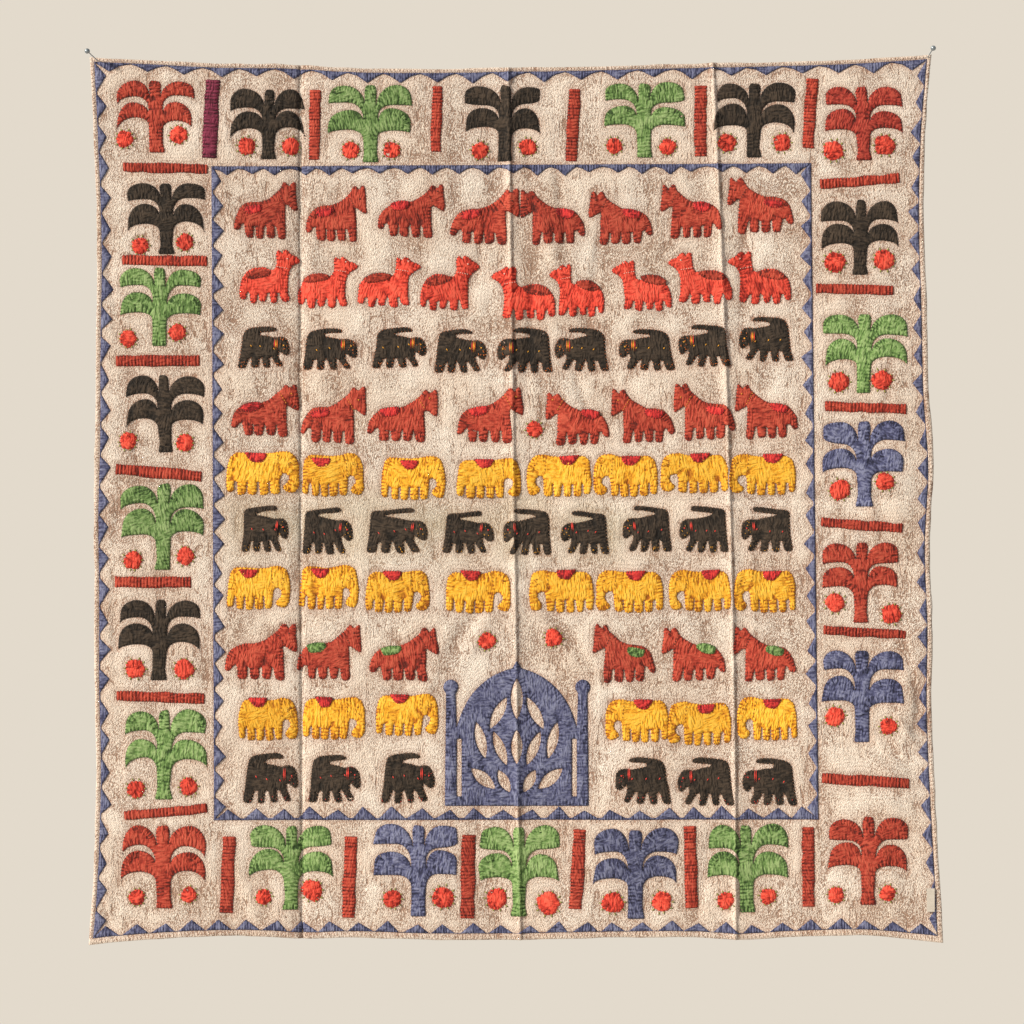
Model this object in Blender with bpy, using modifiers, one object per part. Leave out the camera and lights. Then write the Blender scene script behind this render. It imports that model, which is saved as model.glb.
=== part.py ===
"""Applique wall hanging with the two pins that hold its top corners.

The script works in metres. X runs to the right, Z up and -Y out of the wall, towards the
viewer. The origin lies on the wall plane, under the middle of the cloth's top edge.
The tables are in millimetres: "across" is measured to the right of the origin, "drop"
down from it, and "depth" out of the wall.
"""

import math
import random
from collections import namedtuple

import bmesh
import bpy
import numpy as np
from mathutils import Vector

MM = 0.001

# Cloth
CLOTH_THICK = 1.8
HEMS = {"top": 4.0, "right": 5.4, "bottom": 6.5, "left": 4.6}
HEM_SLOPE = 0.8
HEM_EXTRA = 0.8
TOP_LEFT = (-529.5, -14.0)
TOP_RIGHT = (526.5, -17.0)
BOTTOM_LEFT = (-530.5, 1097.0)
BOTTOM_RIGHT = (538.0, 1093.0)

# How far each edge of the cloth bows from the straight line between its corners. Each row
# is the share of the way along and the bow, down for top and bottom, right for the sides.
TOP_BOW = ((0.0, 0.0), (0.06, 3.2), (0.15, 8.4), (0.25, 10.2), (0.30, 14.0), (0.39, 16.0),
           (0.50, 14.5), (0.60, 13.4), (0.68, 11.2), (0.78, 9.2), (0.91, 5.8), (1.0, 0.0))
LEFT_BOW = ((0.0, 0.0), (0.10, 5.8), (0.21, 10.0), (0.33, 8.9), (0.44, 8.5), (0.50, 6.8),
            (0.61, 7.8), (0.71, 8.0), (0.79, 10.2), (0.87, 8.8), (0.95, 4.8), (1.0, 0.0))
RIGHT_BOW = ((0.0, 0.0), (0.09, -9.5), (0.20, -13.2), (0.28, -11.4), (0.38, -10.2), (0.47, -5.2),
             (0.55, -10.6), (0.65, -8.9), (0.73, -10.8), (0.84, -7.4), (0.95, -2.1), (1.0, 0.0))
BOTTOM_BOW = ((0.0, 0.0), (0.05, -5.0), (0.15, -10.4), (0.21, -9.6), (0.25, -6.8), (0.30, -8.3),
              (0.40, -5.4), (0.50, -5.0), (0.60, -6.8), (0.72, -6.0), (0.76, -3.5), (0.82, -6.6),
              (0.91, -8.8), (1.0, 0.0))

# Folds left from storage. They run down the cloth, and one runs across it.
Fold = namedtuple("Fold", "top middle bottom height spread")
DOWN_FOLDS = (
    Fold(top=-265.0, middle=-264.0, bottom=-262.0, height=-2.8, spread=9.0),
    Fold(top=-5.0, middle=2.0, bottom=10.0, height=3.4, spread=9.0),
    Fold(top=251.0, middle=272.0, bottom=279.0, height=3.4, spread=9.0),
)
CROSS_FOLD = Fold(top=517.0, middle=541.0, bottom=534.0, height=-1.2, spread=8.0)
FOLD_ROUND = 1.3

# Broad soft swells of the hanging cloth: centre, half length, half width, turn from level.
Swell = namedtuple("Swell", "across drop length width turn height")
SWELLS = (
    Swell(across=-330.0, drop=60.0, length=190.0, width=45.0, turn=-14.0, height=2.6),
    Swell(across=40.0, drop=190.0, length=150.0, width=34.0, turn=78.0, height=3.0),
    Swell(across=95.0, drop=330.0, length=170.0, width=40.0, turn=66.0, height=-2.2),
    Swell(across=330.0, drop=70.0, length=180.0, width=42.0, turn=12.0, height=2.6),
    Swell(across=-120.0, drop=690.0, length=160.0, width=50.0, turn=20.0, height=2.0),
    Swell(across=-480.0, drop=620.0, length=240.0, width=34.0, turn=88.0, height=2.2),
    Swell(across=478.0, drop=470.0, length=150.0, width=26.0, turn=86.0, height=3.2),
    Swell(across=486.0, drop=820.0, length=160.0, width=24.0, turn=99.0, height=3.4),
    Swell(across=130.0, drop=960.0, length=170.0, width=50.0, turn=-60.0, height=2.4),
)
DEPTH_AT_TOP = 6.0
DEPTH_GAIN = 5.0
RIGHT_STANDS_OFF = 6.0
RIGHT_STARTS = 300.0
RIGHT_AT_TOP = 0.35
PANEL_BOW = 1.6

# Grid of the cloth: extra lines beside each fold, and shares of the way between them
BESIDE_FOLD = (4.0, 14.0)
DOWN_SHARES = (0.22, 0.5, 0.78)
BESIDE_CROSS = 10.0
ACROSS_SHARES = (0.16, 0.30, 0.44, 0.58, 0.72, 0.86)

# Layers over the cloth's front: how far each stands off it and how thick it is
LAYER_GAP = 0.45
PATCH_THICK = 0.8
LABEL_THICK = 0.6
STENCIL_HALF = 40.0
STENCIL_DEPTH = 14.0

# Toothed borders
BORDER_OFF_HEM = 0.5
BAND = 2.4
Teeth = namedtuple("Teeth", "pitch depth rounded")
OUTER_TEETH = {
    "top": Teeth(45.0, 10.0, True),
    "right": Teeth(35.0, 11.0, False),
    "bottom": Teeth(35.0, 11.0, False),
    "left": Teeth(37.5, 11.5, False),
}
INNER_TEETH = {
    "top": Teeth(33.0, 12.0, True),
    "right": Teeth(33.0, 13.0, False),
    "bottom": Teeth(35.0, 15.0, False),
    "left": Teeth(33.0, 13.0, False),
}
INNER_FRAME = {"top_left": (-376.0, 123.0), "top_right": (374.0, 119.0),
               "bottom_right": (383.0, 940.0), "bottom_left": (-372.5, 941.0)}
TOOTH_UNEVEN = 0.10
# A rounded tooth's flanks bend so far along it and at that share of its rise.
FLANK_AT = 0.22
FLANK_RISE = 0.27

# Palms: trunk, reach to each side, top and foot. The tips are shares of the height.
Palm = namedtuple("Palm", "name colour across left right top foot upper_tip lower_tip")
PALMS = (
    Palm("palm_top_1", "rust", -445.6, 53.0, 52.0, 15.0, 106.0, 0.68, 0.30),
    Palm("palm_top_2", "black", -303.8, 51.0, 46.0, 27.0, 114.0, 0.68, 0.27),
    Palm("palm_top_3", "green", -176.8, 56.0, 54.0, 23.0, 118.0, 0.74, 0.37),
    Palm("palm_top_4", "black", -7.5, 54.0, 44.0, 22.0, 117.0, 0.79, 0.38),
    Palm("palm_top_5", "green", 165.0, 52.0, 53.0, 19.0, 112.0, 0.76, 0.38),
    Palm("palm_top_6", "black", 302.5, 51.0, 53.0, 18.0, 112.0, 0.74, 0.34),
    Palm("palm_top_7", "dark_rust", 438.8, 51.0, 53.0, 24.0, 116.0, 0.72, 0.36),
    Palm("palm_left_1", "black", -432.5, 52.0, 50.0, 143.0, 233.0, 0.72, 0.31),
    Palm("palm_left_2", "green", -441.0, 52.0, 54.0, 251.0, 348.0, 0.76, 0.36),
    Palm("palm_left_3", "black", -435.0, 50.0, 52.0, 384.0, 481.0, 0.72, 0.32),
    Palm("palm_left_4", "green", -436.0, 55.0, 54.0, 521.0, 628.0, 0.72, 0.38),
    Palm("palm_left_5", "black", -440.0, 54.0, 52.0, 664.0, 766.0, 0.72, 0.36),
    Palm("palm_left_6", "green", -435.0, 51.0, 56.0, 804.0, 915.0, 0.72, 0.36),
    Palm("palm_bottom_1", "rust", -436.0, 56.0, 55.0, 948.0, 1051.0, 0.62, 0.33),
    Palm("palm_bottom_2", "green", -276.0, 54.0, 54.0, 947.0, 1053.0, 0.76, 0.36),
    Palm("palm_bottom_3", "blue", -116.0, 59.0, 50.0, 946.0, 1061.0, 0.78, 0.42),
    Palm("palm_bottom_4", "green", 9.0, 52.0, 52.0, 949.0, 1061.0, 0.76, 0.40),
    Palm("palm_bottom_5", "blue", 154.0, 55.0, 56.0, 952.0, 1064.0, 0.68, 0.38),
    Palm("palm_bottom_6", "green", 292.5, 49.0, 55.0, 947.0, 1056.0, 0.74, 0.38),
    Palm("palm_bottom_7", "rust", 445.0, 53.0, 52.0, 937.0, 1046.0, 0.78, 0.38),
    Palm("palm_right_1", "black", 436.0, 52.0, 50.0, 166.0, 259.0, 0.70, 0.34),
    Palm("palm_right_2", "green", 440.0, 52.0, 56.0, 307.0, 407.0, 0.72, 0.32),
    Palm("palm_right_3", "blue", 440.0, 55.0, 52.0, 443.0, 549.0, 0.79, 0.40),
    Palm("palm_right_4", "rust", 436.0, 51.0, 50.0, 593.0, 694.0, 0.74, 0.42),
    Palm("palm_right_5", "blue", 437.0, 52.0, 55.0, 727.0, 843.0, 0.74, 0.44),
)
# What all palms have in common. Widths are shares of the reach and heights of the height.
TRUNK_HALF = 0.185
FOOT_HALF = 0.215
STUB_HALF = 0.13
STUB_TAPER = 0.92
STUB_TOP = 0.97
FROND_END = 0.97
PALM_UNEVEN = 0.025
FROND_STEPS = 2

# A frond's two lines rise from the trunk to a crest and fall to its end. The roots and the
# crests are heights, each crest is so far out, and the end is so high from its tip.
Frond = namedtuple("Frond", "under_root under_crest under_out over_root over_crest over_out end")
LOWER_FROND = Frond(under_root=0.33, under_crest=0.46, under_out=0.48,
                    over_root=0.55, over_crest=0.69, over_out=0.58, end=0.16)
UPPER_FROND = Frond(under_root=0.595, under_crest=0.75, under_out=0.52,
                    over_root=0.78, over_crest=0.985, over_out=0.58, end=0.12)

# Bars: the two ends of the middle line, each across and drop, and the width
Bar = namedtuple("Bar", "name colour start end width")
BARS = (
    Bar("bar_top_1", "purple", (-374.0, 14.5), (-379.0, 113.0), 18.5),
    Bar("bar_top_2", "rust", (-246.0, 27.0), (-248.0, 115.0), 14.0),
    Bar("bar_top_3", "rust", (-93.0, 22.5), (-95.5, 105.0), 13.0),
    Bar("bar_top_4", "rust", (79.0, 26.0), (74.0, 117.0), 15.0),
    Bar("bar_top_5", "rust", (236.0, 22.0), (236.0, 111.0), 15.0),
    Bar("bar_top_6", "rust", (376.0, 13.0), (370.0, 101.0), 15.0),
    Bar("bar_left_1", "rust", (-487.0, 124.0), (-380.5, 126.5), 12.0),
    Bar("bar_left_2", "rust", (-488.0, 240.5), (-381.0, 241.5), 12.5),
    Bar("bar_left_3", "rust", (-496.0, 367.0), (-390.5, 366.0), 14.0),
    Bar("bar_left_4", "rust", (-496.0, 502.0), (-388.0, 511.0), 13.5),
    Bar("bar_left_5", "rust", (-497.0, 643.0), (-401.0, 643.5), 13.5),
    Bar("bar_left_6", "rust", (-495.0, 785.0), (-384.0, 789.0), 13.0),
    Bar("bar_left_7", "rust", (-485.0, 935.5), (-380.5, 926.0), 12.0),
    Bar("bar_right_1", "rust", (385.0, 146.0), (485.0, 138.0), 12.0),
    Bar("bar_right_2", "rust", (380.0, 276.0), (477.0, 278.5), 12.0),
    Bar("bar_right_3", "rust", (391.0, 423.0), (493.0, 427.0), 12.0),
    Bar("bar_right_4", "rust", (386.0, 568.0), (488.0, 576.0), 12.0),
    Bar("bar_right_5", "rust", (389.0, 703.0), (492.0, 709.0), 11.5),
    Bar("bar_right_6", "rust", (387.0, 888.0), (496.0, 894.0), 13.0),
    Bar("bar_bottom_1", "rust", (-353.0, 961.0), (-357.0, 1057.0), 16.5),
    Bar("bar_bottom_2", "rust", (-201.0, 961.0), (-205.0, 1063.0), 16.5),
    Bar("bar_bottom_3", "rust", (-54.0, 959.0), (-56.0, 1064.0), 17.5),
    Bar("bar_bottom_4", "rust", (85.0, 952.0), (79.0, 1052.0), 16.5),
    Bar("bar_bottom_5", "rust", (222.0, 948.0), (225.0, 1051.0), 16.0),
    Bar("bar_bottom_6", "rust", (370.0, 949.0), (370.0, 1049.0), 15.5),
)
BAR_BULGE = 0.05

# Arched panel at the foot of the field, cut from one cloth. Heights are from its foot.
ARCH_MIDDLE = 6.0
ARCH_FOOT = 923.0
ARCH_HALF = 90.0
POST_WIDTH = 15.0
POST_HEIGHT = 158.0
NECK_HALF = 6.0
KNOB_RADIUS = 9.5
KNOB_STEPS = 6
ARCH_SPRING = 98.0
ARCH_TOP = 182.0
ARCH_CROWN_HALF = 6.0
ARCH_CROWN = 10.0
ARCH_BEND = (60.0, 158.0)
ARCH_STEPS = 5
SILL = 12.0
SLOT_WIDTH = 6.0
SLOT_TOP = 84.0
Leaf = namedtuple("Leaf", "across height length width turn")
ARCH_LEAVES = (
    Leaf(across=0.0, height=134.0, length=52.0, width=15.0, turn=90.0),
    Leaf(across=23.0, height=116.0, length=46.0, width=13.0, turn=118.0),
    Leaf(across=0.0, height=74.0, length=44.0, width=14.0, turn=90.0),
    Leaf(across=21.0, height=72.0, length=46.0, width=13.0, turn=68.0),
    Leaf(across=45.0, height=82.0, length=48.0, width=13.0, turn=76.0),
    Leaf(across=16.0, height=31.0, length=32.0, width=13.0, turn=62.0),
    Leaf(across=42.0, height=34.0, length=40.0, width=15.0, turn=40.0),
)
LEAF_STEPS = 3

# Label folded over the right border, with nothing on it
LABEL_ACROSS = (517.0, 527.0)
LABEL_DROP = (1025.0, 1054.0)

# Pins: middle of the ball head and the point where the shank goes through the cloth
Pin = namedtuple("Pin", "name head_across head_depth head_drop hole_across hole_drop")
PINS = (
    Pin("left_pin", -528.8, 24.0, -18.3, -518.8, -9.5),
    Pin("right_pin", 524.5, 24.0, -21.9, 519.8, -12.6),
)
HEAD_RADIUS = 3.25
SHANK_RADIUS = 0.6
POINT_LENGTH = 4.0
POINT_RADIUS = 0.12
PIN_IN_WALL = 9.0
HOLE_CLEARANCE = 0.4
HOLE_LENGTH = 60.0
HEAD_STEPS = 7
PIN_STEPS = 12

# Colours as sRGB hex values, with roughness and metallic
Finish = namedtuple("Finish", "colour roughness metallic")
FINISHES = {
    "ground": Finish("E2CCB8", 0.95, 0.0),
    "rust": Finish("B04A3C", 0.92, 0.0),
    "dark_rust": Finish("A03A34", 0.92, 0.0),
    "black": Finish("3A342F", 0.92, 0.0),
    "green": Finish("5E9450", 0.92, 0.0),
    "blue": Finish("4C5884", 0.92, 0.0),
    "purple": Finish("7D2848", 0.92, 0.0),
    "label": Finish("D6D4CE", 0.85, 0.0),
    "pin": Finish("5E6B78", 0.35, 1.0),
}


def smooth_through(rows, share):
    """Heights of a smooth curve through the rows, each (place, height), at the shares."""
    place, height = np.array(rows, float).T
    slope = np.gradient(height, place)
    share = np.clip(share, place[0], place[-1])
    at = np.clip(np.searchsorted(place, share, side="right") - 1, 0, len(place) - 2)
    span = place[at + 1] - place[at]
    t = (share - place[at]) / span
    rise = height[at + 1] - height[at]
    bend_in = slope[at] * span - rise
    bend_out = rise - slope[at + 1] * span
    return height[at] + t * rise + t * (1 - t) * ((1 - t) * bend_in + t * bend_out)


def between(first, last, share):
    return first + (last - first) * share


def top_edge(across):
    share = (across - TOP_LEFT[0]) / (TOP_RIGHT[0] - TOP_LEFT[0])
    return between(TOP_LEFT[1], TOP_RIGHT[1], share) + smooth_through(TOP_BOW, share)


def bottom_edge(across):
    share = (across - BOTTOM_LEFT[0]) / (BOTTOM_RIGHT[0] - BOTTOM_LEFT[0])
    return between(BOTTOM_LEFT[1], BOTTOM_RIGHT[1], share) + smooth_through(BOTTOM_BOW, share)


def left_edge(drop):
    share = (drop - TOP_LEFT[1]) / (BOTTOM_LEFT[1] - TOP_LEFT[1])
    return between(TOP_LEFT[0], BOTTOM_LEFT[0], share) + smooth_through(LEFT_BOW, share)


def right_edge(drop):
    share = (drop - TOP_RIGHT[1]) / (BOTTOM_RIGHT[1] - TOP_RIGHT[1])
    return between(TOP_RIGHT[0], BOTTOM_RIGHT[0], share) + smooth_through(RIGHT_BOW, share)


def fold_line(fold, share):
    """Where a fold runs, on the parabola through its three places."""
    bend = 2 * (fold.top + fold.bottom - 2 * fold.middle)
    return between(fold.top, fold.bottom, share) - bend * share * (1 - share)


def cross_line(across):
    return fold_line(CROSS_FOLD, (across - TOP_LEFT[0]) / (TOP_RIGHT[0] - TOP_LEFT[0]))


def crease(distance, fold):
    """A ridge or trough that falls off on both sides, with a rounded crest."""
    rounded = np.sqrt(distance**2 + FOLD_ROUND**2) - FOLD_ROUND
    return fold.height * np.exp(-rounded / fold.spread)


def cloth_depth(across, drop):
    """Distance of the cloth's middle from the wall."""
    share = np.clip(drop / BOTTOM_LEFT[1], 0, 1)
    lines = [left_edge(drop), *(fold_line(fold, share) for fold in DOWN_FOLDS), right_edge(drop)]
    depth = DEPTH_AT_TOP + DEPTH_GAIN * share
    lifted = np.clip((across - RIGHT_STARTS) / (BOTTOM_RIGHT[0] - RIGHT_STARTS), 0, 1)
    depth = depth + RIGHT_STANDS_OFF * lifted**2 * (3 - 2 * lifted) * between(RIGHT_AT_TOP, 1.0, share)
    for first, last in zip(lines, lines[1:]):
        inside = np.clip((across - first) / (last - first), 0, 1)
        depth = depth + PANEL_BOW * np.sin(math.pi * inside) ** 2
    for fold, line in zip(DOWN_FOLDS, lines[1:-1]):
        depth = depth + crease(across - line, fold)
    depth = depth + crease(drop - cross_line(across), CROSS_FOLD)
    for swell in SWELLS:
        turn = math.radians(swell.turn)
        right, down = across - swell.across, drop - swell.drop
        along = (right * math.cos(turn) + down * math.sin(turn)) / swell.length
        aside = (down * math.cos(turn) - right * math.sin(turn)) / swell.width
        depth = depth + swell.height * np.exp(-along**2 - aside**2)
    return depth


def hem_lines(side):
    """Where a hem ends and where the step down from it ends, from the cloth's edge."""
    return HEMS[side], HEMS[side] + HEM_SLOPE


def grid_columns(drop):
    """Places of the grid's columns at one drop: edges, hems, folds and shares between."""
    share = np.clip(drop / BOTTOM_LEFT[1], 0, 1)
    lines = [left_edge(drop), *(fold_line(fold, share) for fold in DOWN_FOLDS), right_edge(drop)]
    columns = []
    for index, (first, last) in enumerate(zip(lines, lines[1:])):
        before = hem_lines("left") if index == 0 else BESIDE_FOLD
        after = hem_lines("right") if index == len(lines) - 2 else BESIDE_FOLD
        columns.append(first)
        columns.extend(first + step for step in before)
        columns.extend(between(first, last, share) for share in DOWN_SHARES)
        columns.extend(last - step for step in reversed(after))
    columns.append(lines[-1])
    return columns


def grid_rows(across):
    """Places of the grid's rows at one place across, from the top edge to the bottom."""
    lines = [top_edge(across), cross_line(across), bottom_edge(across)]
    rows = []
    for index, (first, last) in enumerate(zip(lines, lines[1:])):
        before = hem_lines("top") if index == 0 else (BESIDE_CROSS,)
        after = (BESIDE_CROSS,) if index == 0 else hem_lines("bottom")
        rows.append(first)
        rows.extend(first + step for step in before)
        rows.extend(between(first, last, share) for share in ACROSS_SHARES)
        rows.extend(last - step for step in reversed(after))
    rows.append(lines[-1])
    return rows


def cloth_grid():
    """Across and drop of every grid point, as two arrays of rows by columns."""
    rough_rows = grid_rows(0.0)
    across = np.array([grid_columns(drop) for drop in rough_rows])
    drop = np.array([[grid_rows(x)[row] for x in line] for row, line in enumerate(across)])
    return across, drop


def finish(name):
    """The material of one finish, made once."""
    made = bpy.data.materials.get(name)
    if made:
        return made
    values = FINISHES[name]
    channels = [int(values.colour[i:i + 2], 16) / 255 for i in (0, 2, 4)]
    linear = [c / 12.92 if c <= 0.04045 else ((c + 0.055) / 1.055) ** 2.4 for c in channels]
    made = bpy.data.materials.new(name)
    made.use_nodes = True
    shader = made.node_tree.nodes["Principled BSDF"]
    shader.inputs["Base Color"].default_value = (*linear, 1.0)
    shader.inputs["Roughness"].default_value = values.roughness
    shader.inputs["Metallic"].default_value = values.metallic
    made.diffuse_color = (*linear, 1.0)
    return made


def add_object(name, mesh, material, collection, parent=None):
    """A new object for the mesh, with its own copy of the material."""
    obj = bpy.data.objects.new(name, mesh)
    collection.objects.link(obj)
    if material:
        own = finish(material).copy()
        own.name = name
        mesh.materials.append(own)
    obj.parent = parent
    return obj


def add_cutter(name, mesh, collection):
    """A helper that shapes other objects and isn't part of the hanging."""
    obj = add_object(name, mesh, None, collection)
    obj.hide_render = True
    obj.display_type = "WIRE"
    return obj


def sheet_mesh(name, behind, ahead, hem_extra=0.0):
    """A sheet on the cloth's folds, from behind to ahead of its middle, both out of the wall."""
    across, drop = cloth_grid()
    rows, columns = across.shape
    depth = cloth_depth(across, drop)
    bm = bmesh.new()
    bmesh.ops.create_grid(bm, x_segments=columns - 1, y_segments=rows - 1, size=1.0)
    for vert in bm.verts:
        column = round((vert.co.x + 1) / 2 * (columns - 1))
        row = round((1 - vert.co.y) / 2 * (rows - 1))
        at = row, column
        in_hem = column in (0, 1, columns - 2, columns - 1) or row in (0, 1, rows - 2, rows - 1)
        front = depth[at] + ahead + (hem_extra if in_hem else 0.0)
        vert.co = (across[at] * MM, -front * MM, -drop[at] * MM)
    bmesh.ops.triangulate(bm, faces=bm.faces[:], quad_method="FIXED")
    made = bmesh.ops.extrude_face_region(bm, geom=bm.faces[:])
    for vert in made["geom"]:
        if isinstance(vert, bmesh.types.BMVert):
            vert.co.y = -(cloth_depth(vert.co.x / MM, -vert.co.z / MM) + behind) * MM
    bmesh.ops.recalc_face_normals(bm, faces=bm.faces[:])
    mesh = bpy.data.meshes.new(name)
    bm.to_mesh(mesh)
    bm.free()
    return mesh


def stencil(name, loops):
    """A mesh of the flat outline, which the first loop bounds and the others cut holes in.

    Each loop lists across and height in mm. The outline stands in the XZ plane.
    """
    curve = bpy.data.curves.new(name, "CURVE")
    curve.dimensions = "2D"
    curve.fill_mode = "BOTH"
    curve.extrude = STENCIL_HALF * MM
    for loop in loops:
        spline = curve.splines.new("POLY")
        spline.points.add(len(loop) - 1)
        for point, (across, height) in zip(spline.points, loop):
            point.co = (across * MM, height * MM, 0.0, 1.0)
        spline.use_cyclic_u = True
    flat = bpy.data.objects.new(name, curve)
    bpy.context.scene.collection.objects.link(flat)
    bpy.context.view_layer.update()
    evaluated = flat.evaluated_get(bpy.context.evaluated_depsgraph_get())
    mesh = bpy.data.meshes.new_from_object(evaluated)
    bpy.data.objects.remove(flat)
    bpy.data.curves.remove(curve)
    bm = bmesh.new()
    bm.from_mesh(mesh)
    bmesh.ops.remove_doubles(bm, verts=bm.verts[:], dist=0.01 * MM)
    bmesh.ops.recalc_face_normals(bm, faces=bm.faces[:])
    bm.to_mesh(mesh)
    bm.free()
    mesh.name = name
    return mesh


def add_patch(name, colour, loops, across, drop, layer, parent, collection):
    """A piece of cloth cut to the outline, on the folds of the sheet that it is sewn to."""
    obj = add_object(name, stencil(name, loops), colour, collection, parent)
    obj.location = (across * MM, -STENCIL_DEPTH * MM, -drop * MM)
    obj.rotation_euler = (math.pi / 2, 0.0, 0.0)
    cut = obj.modifiers.new("on the folds", "BOOLEAN")
    cut.operation = "INTERSECT"
    cut.solver = "EXACT"
    cut.object = layer
    return obj


def arc(start, bend, end, steps):
    """Points after start on the curve that leaves start towards bend and comes to end."""
    points = []
    for step in range(1, steps + 1):
        t = step / steps
        out, up = ((1 - t) ** 2 * a + 2 * t * (1 - t) * b + t**2 * c for a, b, c in zip(start, bend, end))
        points.append((out, up))
    return points


def dome(start, crest, end, steps):
    """Points after start on two quarter ellipses, from start up to crest and down to end."""
    points = []
    for side, level in ((start, 1.0), (end, 0.0)):
        for step in range(1, steps + 1):
            angle = math.pi / 2 * (level + (1 - 2 * level) * (1 - step / steps))
            out = crest[0] + (side[0] - crest[0]) * math.cos(angle)
            up = side[1] + (crest[1] - side[1]) * math.sin(angle)
            points.append((out, up))
    return points


def frond_outline(frond, tip, trunk_half, reach, height, chance):
    """A frond from its root, out under it, up its end and back over it to the trunk."""
    def place(out, up):
        return out * reach, up * height

    def crest(out, up):
        return place(out, up + chance.uniform(-PALM_UNEVEN, PALM_UNEVEN))

    under_root = place(TRUNK_HALF, frond.under_root)
    end_under = place(FROND_END, tip)
    end_over = place(1.0, tip + frond.end)
    over_root = place(trunk_half, frond.over_root)
    under = dome(under_root, crest(frond.under_out, frond.under_crest), end_under, FROND_STEPS)
    over = dome(end_over, crest(frond.over_out, frond.over_crest), over_root, FROND_STEPS)
    return [under_root, *under, end_over, *over]


def palm_side(palm, reach, chance):
    """One side of a palm's outline, from its foot to its top, as (outwards, upwards)."""
    height = palm.foot - palm.top
    lower = frond_outline(LOWER_FROND, palm.lower_tip, TRUNK_HALF, reach, height, chance)
    upper = frond_outline(UPPER_FROND, palm.upper_tip, STUB_HALF, reach, height, chance)
    top = (STUB_HALF * STUB_TAPER * reach, STUB_TOP * height)
    return [(FOOT_HALF * reach, 0.0), *lower, *upper, top]


def palm_outline(palm, seed):
    chance = random.Random(seed)
    right = palm_side(palm, palm.right, chance)
    left = palm_side(palm, palm.left, chance)
    return right + [(-out, up) for out, up in reversed(left)]


def bar_outline(bar):
    """Four corners and a slight bulge half-way, about the bar's start."""
    run = np.subtract(bar.end, bar.start) * (1, -1)
    length = math.hypot(*run)
    side = np.array([-run[1], run[0]]) / length * bar.width / 2
    bulged = side * (1 + BAR_BULGE)
    points = (-side, run / 2 - bulged, run - side, run + side, run / 2 + bulged, side)
    return [tuple(point) for point in points]


def toothed_side(start, end, edge, inwards, teeth, chance):
    """The inner line of one side of a border: teeth, and level or rounded valleys between.

    edge gives the base point at a share of the way, and inwards is across and drop.
    """
    count = round(math.dist(start, end) / teeth.pitch)
    points = []
    for number in range(count):
        shares = [(number + part) / count for part in (0.0, 0.5)]
        if teeth.rounded:
            shares = [(number + part) / count for part in (0.0, FLANK_AT, 0.5, 1 - FLANK_AT)]
        tip = teeth.depth * (1 + chance.uniform(-TOOTH_UNEVEN, TOOTH_UNEVEN))
        lengths = [BAND, tip]
        if teeth.rounded:
            flank = between(BAND, tip, FLANK_RISE)
            lengths = [BAND, flank, tip, flank]
        for share, length in zip(shares, lengths):
            base = edge(share)
            points.append((base[0] + inwards[0] * length, base[1] + inwards[1] * length))
    return points


def border_loops(outside, edges, corners, all_teeth, seed):
    """Outer line and toothed inner line of a border, as (across, height) loops."""
    chance = random.Random(seed)
    inward = {"top": (0, 1), "right": (-1, 0), "bottom": (0, -1), "left": (1, 0)}
    sides = list(inward)
    inside = []
    for index, side in enumerate(sides):
        start, end = corners[index], corners[(index + 1) % 4]
        run = toothed_side(start, end, edges(side, start, end), inward[side], all_teeth[side], chance)
        # The corner point stands off the side before this one too.
        before = inward[sides[index - 1]]
        run[0] = (run[0][0] + before[0] * BAND, run[0][1] + before[1] * BAND)
        inside += run
    return [[(across, -drop) for across, drop in loop] for loop in (outside, inside)]


def along_hem():
    """The outer border's outer line, clockwise, beside the grid line where the hem ends."""
    across, drop = cloth_grid()
    gap = BORDER_OFF_HEM
    top = [(x, y + gap) for x, y in zip(across[2, 3:-3], drop[2, 3:-3])]
    right = [(x - gap, y) for x, y in zip(across[3:-3, -3], drop[3:-3, -3])]
    bottom = [(x, y - gap) for x, y in zip(across[-3, 3:-3], drop[-3, 3:-3])]
    left = [(x + gap, y) for x, y in zip(across[3:-3, 2], drop[3:-3, 2])]
    corners = []
    for row, column, right_of, below in ((2, 2, 1, 1), (2, -3, -1, 1), (-3, -3, -1, -1), (-3, 2, 1, -1)):
        corners.append((across[row, column] + gap * right_of, drop[row, column] + gap * below))
    line = [corners[0], *top, corners[1], *right]
    line += [corners[2], *reversed(bottom), corners[3], *reversed(left)]
    return np.array(line).tolist(), np.array(corners).tolist()


def outer_edges(side, start, end):
    """Base line of the outer border's teeth, which follows the cloth's bowed edge."""
    off = HEMS[side] + HEM_SLOPE + BORDER_OFF_HEM

    def edge(share):
        across = between(start[0], end[0], share)
        drop = between(start[1], end[1], share)
        if side == "top":
            drop = float(top_edge(across)) + off
        elif side == "bottom":
            drop = float(bottom_edge(across)) - off
        elif side == "left":
            across = float(left_edge(drop)) + off
        else:
            across = float(right_edge(drop)) - off
        return across, drop
    return edge


def inner_edges(side, start, end):
    """Base line of the inner border's teeth, which is straight between its corners."""
    def edge(share):
        return between(start[0], end[0], share), between(start[1], end[1], share)
    return edge


def leaf_loop(leaf, mirror):
    """A pointed leaf about its middle, longest along its turn."""
    turn = math.radians(leaf.turn)
    half, bend = leaf.length / 2, leaf.width
    tip, heel = (half, 0.0), (-half, 0.0)
    points = arc(tip, (0.0, bend), heel, LEAF_STEPS) + arc(heel, (0.0, -bend), tip, LEAF_STEPS)
    placed = []
    for along, aside in points:
        across = leaf.across + along * math.cos(turn) - aside * math.sin(turn)
        height = leaf.height + along * math.sin(turn) + aside * math.cos(turn)
        placed.append((mirror * across, height))
    return placed


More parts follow.
